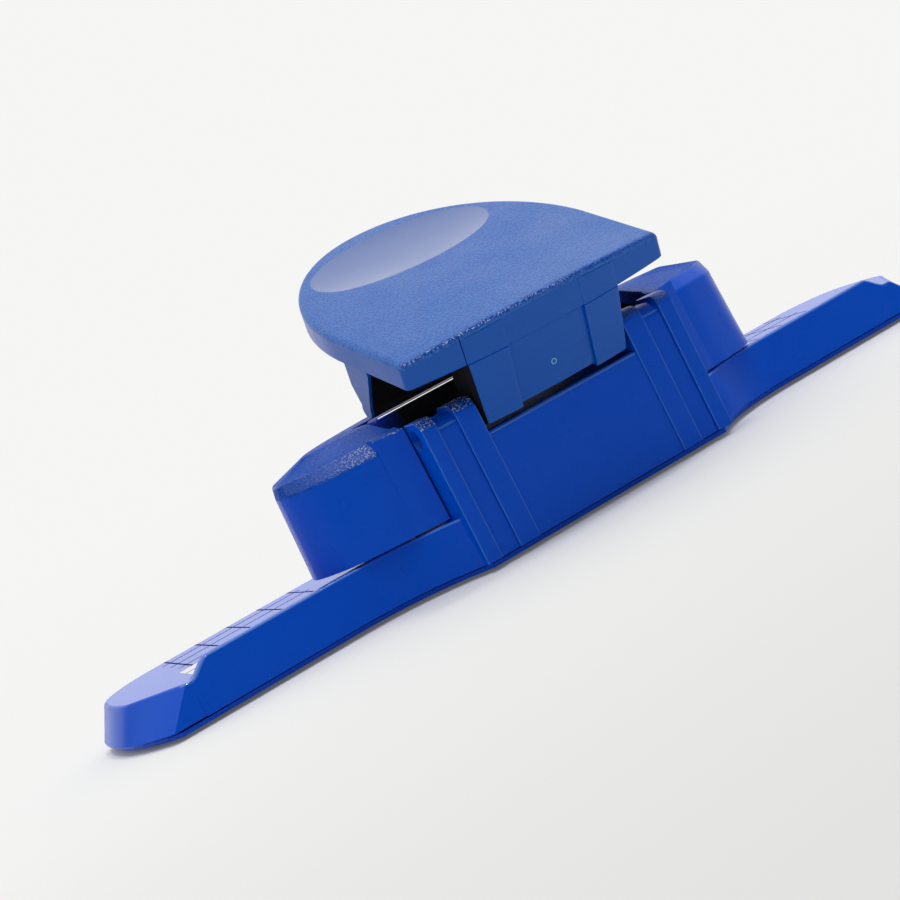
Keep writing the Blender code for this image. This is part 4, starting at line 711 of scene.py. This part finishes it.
for share in (0.985, 0.95, 0.9, 0.84, 0.77, 0.69, 0.6, 0.5, 0.4, 0.3, 0.2, 0.1, 0.03):
    centre = Vector((0, DIMPLE_REACH))
    rings.append([on_top(centre.lerp(point, share), dimple_sink(share)) for point in oval])
lever = stack("lever_shell", rings, LEVER_TO_ROW)
above = lambda at: at.z - LEVER_TOP - crown(at.x, at.y)
in_dimple = lambda at: math.hypot(at.x / DIMPLE_HALF, (at.y - DIMPLE_REACH) / DIMPLE_WIDE) < 1
paint(lever, GRAINED, lambda at, way: above(at) > -0.9, FROM_LEVER)
# The back edge's rounding gets the worn finish, with its painted glints.
paint(lever, WORN_GLINT, lambda at, way: at.y < -3.0 and -0.5 < above(at) < -0.12, FROM_LEVER)
paint(lever, POLISHED, lambda at, way: in_dimple(at) and above(at) > -1.3, FROM_LEVER)
print("dimple faces", sum(face.material_index == POLISHED for face in lever.data.polygons))

# %% Knuckle, ears and presser
KNUCKLE_LOW, KNUCKLE_FOOT_HALF, KNUCKLE_HALF = -1.4, 14.3, 15.1
GROOVE_HALF, GROOVE = 7.5, 0.6


def knuckle_ring(half, lean, rise, groove=GROOVE, crowned=0.0):
    """Plan of the knuckle's wall at one rise: bowed back with a shallow recess and rounded corners."""
    backs = [(-half, 0.5), (-half + 0.15, 0.15), (-half + 0.5, 0.0)]
    backs += [(-half + 0.5 + (half - 0.5 - GROOVE_HALF - 0.1) * step / 8, 0.0) for step in range(1, 9)]
    middle = [(-GROOVE_HALF + 0.02, groove)] + [(-GROOVE_HALF * (1 - step / 8), groove) for step in range(1, 9)]
    right = [(-x, sunk) for x, sunk in reversed(backs + middle[:-1])]
    plan = [(x, back_reach(x) + lean + sunk) for x, sunk in backs + middle + right]
    plan += [(x, back_reach(x) + lean + 2.2) for x in [half - half * 2 * step / 20 for step in range(21)]]
    return [(x, reach, rise + crown(x, reach) * crowned) for x, reach in plan]


knuckle = stack("knuckle", [knuckle_ring(KNUCKLE_FOOT_HALF, 1.1, KNUCKLE_LOW),
                            knuckle_ring(KNUCKLE_HALF, -0.02, LEVER_RIM_LOW - 0.1),
                            knuckle_ring(KNUCKLE_HALF, 0.14, LEVER_RIM_LOW + 0.02),
                            knuckle_ring(KNUCKLE_HALF, -0.13, LEVER_RIM_LOW + 0.16),
                            knuckle_ring(KNUCKLE_HALF, -0.13, 13.35, GROOVE, 1.0),
                            knuckle_ring(KNUCKLE_HALF - 0.1, 0.1, 13.6, GROOVE, 1.0)], LEVER_TO_ROW)
round_where(knuckle, lambda a, b: abs(a.z - b.z) > 0.3 and GROOVE_HALF < min(abs(a.x), abs(b.x))
            and max(abs(a.x), abs(b.x)) < GROOVE_HALF + 0.2 and a.y < -4.0, 0.1, 2, EDGE, FROM_LEVER)
# The knuckle's witness line at the rim gets the edge finish, a lighter painted highlight line.
paint(knuckle, EDGE, lambda at, way: abs(at.z - LEVER_RIM_LOW + 0.04) < 0.03, FROM_LEVER)
combine(lever, knuckle, "UNION")
ear =[(4.4, 13.1), (-3.6, 13.1), (-3.6, -1.1)] + bow((0, 0), 3.1, 205.0, 360.0, 20)
for sign in (-1, 1):
    low, high = sorted((KNUCKLE_FOOT_HALF * sign, (KNUCKLE_FOOT_HALF - 2.2) * sign))
    combine(lever, side_bar("ear", ear, low, high, LEVER_TO_ROW), "UNION")
foot = side_bar("groove_foot", [(-7.0, -2.4), (0.0, -2.4), (0.0, -0.8), (-7.0, -0.8)], -7.5, 7.5, LEVER_TO_ROW)
combine(lever, foot, "DIFFERENCE")
nose = bow((17.17, 0.5), 1.5, 35.0, -195.0, 20)
plate = [(20.0, 13.9), (20.0, 4.75)] + nose + [(18.2, 5.05), (18.2, 13.9)]
combine(lever, side_bar("presser", plate, -25.0, 25.0, LEVER_TO_ROW), "UNION")
gusset = [(20.03, 13.9), (12.0, 13.9), (12.0, 8.25)] + bow((17.17, 0.5), 1.52, -195.0, 35.0, 20) + [(20.03, 4.75)]
for sign in (-1, 1):
    low, high = sorted((25.05 * sign, 24.5 * sign))
    combine(lever, side_bar("gusset", gusset, low, high, LEVER_TO_ROW), "UNION")
combine(lever, cross_peg("ear_bore", 1.8, 16.1, HINGE), "DIFFERENCE")
combine(lever, side_bar("witness", [(-7.0, 9.9), (-4.85, 9.9), (-4.85, 15.2), (-7.0, 15.2)], 15.13, 15.33,
                        LEVER_TO_ROW), "DIFFERENCE")
paint(lever, SATIN, lambda at, way: at.y < 1.0 or at.z > LEVER_RIM_LOW - 0.1 or abs(at.x) > 24.4, FROM_LEVER, SMOOTH)
# The cavity under the top and the ears' sides get the near-black painted shade.
paint(lever, SHADED, lambda at, way: abs(at.x) < 24.9 and 1.0 < at.y < 20.5 and at.z < 13.2
      and (abs(at.x) < 24.4 or abs(way.x) > 0.9), FROM_LEVER)
paint(lever, SHADED, lambda at, way: abs(way.x) > 0.5 and 11.5 < abs(at.x) < 15.2 and -5.0 < at.y < 6.0
      and at.z < LEVER_RIM_LOW, FROM_LEVER)
dressed(lever, "lever", "lever")

# %% [markdown]
# ## Steel, zinc and rubber
# The CAD shapes of the small parts are right, so only their materials change. Steel is ground along the punch, with
# fine streaks. The presser rubs on a thin bright strip along the top of the pressure bar, which glows a little as
# painted light.

# %% Better materials for the CAD pieces
steel, tree, shader = fresh_material("ground_steel", (0.62, 0.63, 0.65), 0.28, 1.0)
streaks = noise_of(tree, 900, 2.0, (0.06, 1.0, 1.0))
tree.links.new(spread(tree, streaks, 0.3, 0.7, 0.2, 0.42), shader.inputs["Roughness"])
bumped(tree, shader, streaks, 0.2, 0.02 * MM)
zinc, tree, shader = fresh_material("zinc_plate", (0.72, 0.73, 0.7), 0.36, 1.0)
tree.links.new(spread(tree, noise_of(tree, 500, 3.0), 0.3, 0.7, 0.28, 0.5), shader.inputs["Roughness"])
rubber, tree, shader = fresh_material("foot_rubber", (0.035, 0.035, 0.037), 0.8)
bumped(tree, shader, noise_of(tree, 2200, 2.0), 0.5, 0.06 * MM)
dark, tree, shader = fresh_material("dark_moulding", (0.018, 0.018, 0.02), 0.5)
bumped(tree, shader, noise_of(tree, 1500, 2.0), 0.3, 0.05 * MM)
FINISHES = {"bright_steel": steel, "zinc_screw": zinc, "grey_rubber": rubber, "dark_plastic": dark,
            "blue_plastic": BLUES[SMOOTH]}
slot_of = {part["node"]: part["material_slot"] for part in frame["record"]["subparts"]}
for name, finish in slot_of.items():
    for slot in nodes[name].material_slots:
        slot.material = FINISHES[finish]

# The pressure bar's middle is painted near black, as painted shade of the well. Its two ends, which stay out of that
# shade, are seen in the housing's blue.
BAR_SHADE_X, BAR_BLUE_X = 20.5, 23.5
bar_shade_finish, tree, shader = fresh_material("bar_painted_shade", (0.018, 0.018, 0.02), 0.45)
shader.inputs["Specular IOR Level"].default_value = 0.2
where = node(tree, "ShaderNodeTexCoord", (-1500, 300))
axes = node(tree, "ShaderNodeSeparateXYZ", (-1300, 300))
tree.links.new(where.outputs["Object"], axes.inputs[0])
away = node(tree, "ShaderNodeMath", (-1100, 300), operation="ABSOLUTE")
tree.links.new(axes.outputs["X"], away.inputs[0])
tree.links.new(mixed(tree, spread(tree, away.outputs[0], BAR_SHADE_X * MM, BAR_BLUE_X * MM, 0.0, 1.0),
                     (0.018, 0.018, 0.02), (0.01, 0.06, 0.6)), shader.inputs["Base Color"])
bumped(tree, shader, noise_of(tree, 2600, 1.5), 1.0, 0.16 * MM)
for slot in nodes["pressure_bar"].material_slots:
    slot.material = bar_shade_finish
print("CAD pieces dressed", len(slot_of))

# %% Bright wear strip on the pressure bar, glowing with painted light
low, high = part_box("pressure_bar")
bar_back, bar_top = (REAR_Y - high.y) / MM, (high.z - UNDERSIDE) / MM
strip_glow, tree, shader = fresh_material("glowing_steel", (0.95, 0.95, 0.95), 0.3, 0.2)
# Its emission is painted light, no lamp: it makes a bright white line under the presser.
shader.inputs["Emission Color"].default_value = (1.0, 1.0, 0.98, 1.0)
shader.inputs["Emission Strength"].default_value = 0.9
strip = slab("wear_strip", low.x / MM + 0.4, high.x / MM - 0.4, bar_back - 0.03, bar_back + 0.15,
             bar_top - 0.18, bar_top - 0.06, [strip_glow])
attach(strip, "punch")
print("strip at depth", round(bar_back, 2), "top", round(bar_top, 2))

# %% Printed marks on the paper table
white, tree, shader = fresh_material("white_print", (0.82, 0.82, 0.8), 0.5)
bumped(tree, shader, noise_of(tree, 3000, 2.0), 0.15, 0.02 * MM)
for number, (back, front) in enumerate(((17.6, 21.9), (22.7, 27.0))):
    mark = slab("printed_mark_" + "ab"[number], 68.2, 72.0, back, front, TABLE_TOP - 0.02, TABLE_TOP + 0.03, [white])
    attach(mark, "base")
print("printed marks", number + 1)

# %% Gate mark on the knuckle
GATE = LEVER_TO_ROW @ Vector((0.04, -4.76, 3.31))
# The gate scar is real, but its light cyan colour is a painted glint.
scar_glint, tree, shader = fresh_material("gate_scar_glint", (0.2, 0.6, 0.8), 0.4)
bumped(tree, shader, noise_of(tree, 4000, 2.0), 0.5, 0.05 * MM)
deselect_all()
bpy.ops.mesh.primitive_torus_add(major_segments=32, minor_segments=8, major_radius=0.45 * MM,
                                 minor_radius=0.1 * MM, location=GATE, rotation=(math.radians(-118.6), 0, 0))
bpy.ops.object.transform_apply(location=True, rotation=True, scale=True)
gate = named("gate_mark", [scar_glint])
bpy.ops.object.shade_smooth()
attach(gate, "lever")

# %% [markdown]
# ## Floor and camera
# The punch rests on a wide pale floor. The camera stands behind the punch and is rolled to one side, as in the
# photograph.

# %% Floor
FLOOR_LIFT = 0.1
deselect_all()
bpy.ops.mesh.primitive_plane_add(size=12, location=(0, 0, 0))
floor = bpy.context.object
floor.name = "studio_floor"
BACKDROP = (0.915, 0.915, 0.908)
NEAR_BACKDROP, NEAR_PAPER = (0.77, 0.77, 0.755), (0.66, 0.66, 0.645)
paper, tree, shader = fresh_material("studio_paper", (0.78, 0.78, 0.77), 0.9)
shader.inputs["Specular IOR Level"].default_value = 0.0
rays = node(tree, "ShaderNodeLightPath", (-900, 300))
where = node(tree, "ShaderNodeTexCoord", (-1100, 0))
away = node(tree, "ShaderNodeVectorMath", (-900, 0), operation="LENGTH")
tree.links.new(where.outputs["Object"], away.inputs[0])
far = joined(tree, spread(tree, away.outputs["Value"], 0.16, 0.6, 0.0, 1.0), rays.outputs["Is Camera Ray"],
             "MULTIPLY")
axes = node(tree, "ShaderNodeSeparateXYZ", (-900, -200))
tree.links.new(where.outputs["Object"], axes.inputs[0])
near = spread(tree, axes.outputs["Y"], 0.03, 0.19, 0.0, 1.0)
tree.links.new(mixed(tree, far, mixed(tree, near, (0.78, 0.78, 0.77), NEAR_PAPER), (0.0, 0.0, 0.0)),
               shader.inputs["Base Color"])
tree.links.new(mixed(tree, near, BACKDROP, NEAR_BACKDROP), shader.inputs["Emission Color"])
lift = spread(tree, far, 0.0, 1.0, FLOOR_LIFT, 1.0)
tree.links.new(joined(tree, lift, rays.outputs["Is Camera Ray"], "MULTIPLY"), shader.inputs["Emission Strength"])
floor.data.materials.append(paper)

# %% Camera
camera = bpy.data.objects.new("photo_camera", bpy.data.cameras.new("photo_camera"))
bpy.context.scene.collection.objects.link(camera)
camera.data.lens = 73.11
camera.data.sensor_width = 36
camera.data.clip_start = 0.01
camera.location = (0.12563, REAR_Y + 0.26982, 0.04638)
camera.rotation_euler = [math.radians(angle) for angle in (84.309, 26.917, 156.486)]
bpy.context.scene.camera = camera
print("camera, mm", [round(value / MM, 1) for value in camera.location])

# %% [markdown]
# ## Light
# A soft light straight overhead makes the rounded edges and the grain sparkle. The air is brighter in front of the
# punch than behind the camera, so the upright blue faces stay deep while the tops mirror white. It is darker low
# down at the +X end as well.

# %% Lamp and air
for name, energy, turn_x, turn_y in (("overhead_light", 0.6, -8, 7), ("side_light", 0.4, -2, -20)):
    lamp = bpy.data.objects.new(name, bpy.data.lights.new(name, "SUN"))
    bpy.context.scene.collection.objects.link(lamp)
    lamp.data.energy = energy
    lamp.data.angle = math.radians(10)
    lamp.rotation_euler = (math.radians(turn_x), math.radians(turn_y), 0)
world = bpy.data.worlds.new("studio_air")
world.use_nodes = True
bpy.context.scene.world = world
tree = world.node_tree
sky = tree.nodes["Background"]
where = node(tree, "ShaderNodeTexCoord", (-1100, 0))
axes = node(tree, "ShaderNodeSeparateXYZ", (-900, 0))
tree.links.new(where.outputs["Generated"], axes.inputs[0])
ahead = spread(tree, axes.outputs["Y"], 0.45, -0.55, 0.0, 1.0)
above = spread(tree, axes.outputs["Z"], 0.6, 0.95, 0.0, 1.0)
shade = mixed(tree, joined(tree, ahead, above, "MAXIMUM"), (0.22, 0.225, 0.23), (1.05, 1.05, 1.04))
aside = joined(tree, spread(tree, axes.outputs["X"], 0.3, 0.8, 0.0, 0.85),
               spread(tree, axes.outputs["Z"], 0.2, 0.6, 1.0, 0.0), "MULTIPLY")
shade = mixed(tree, aside, shade, (0.12, 0.12, 0.125))
rays = node(tree, "ShaderNodeLightPath", (-700, 300))
tree.links.new(mixed(tree, rays.outputs["Is Camera Ray"], shade, BACKDROP), sky.inputs["Color"])
bpy.context.scene.view_settings.view_transform = "Standard"
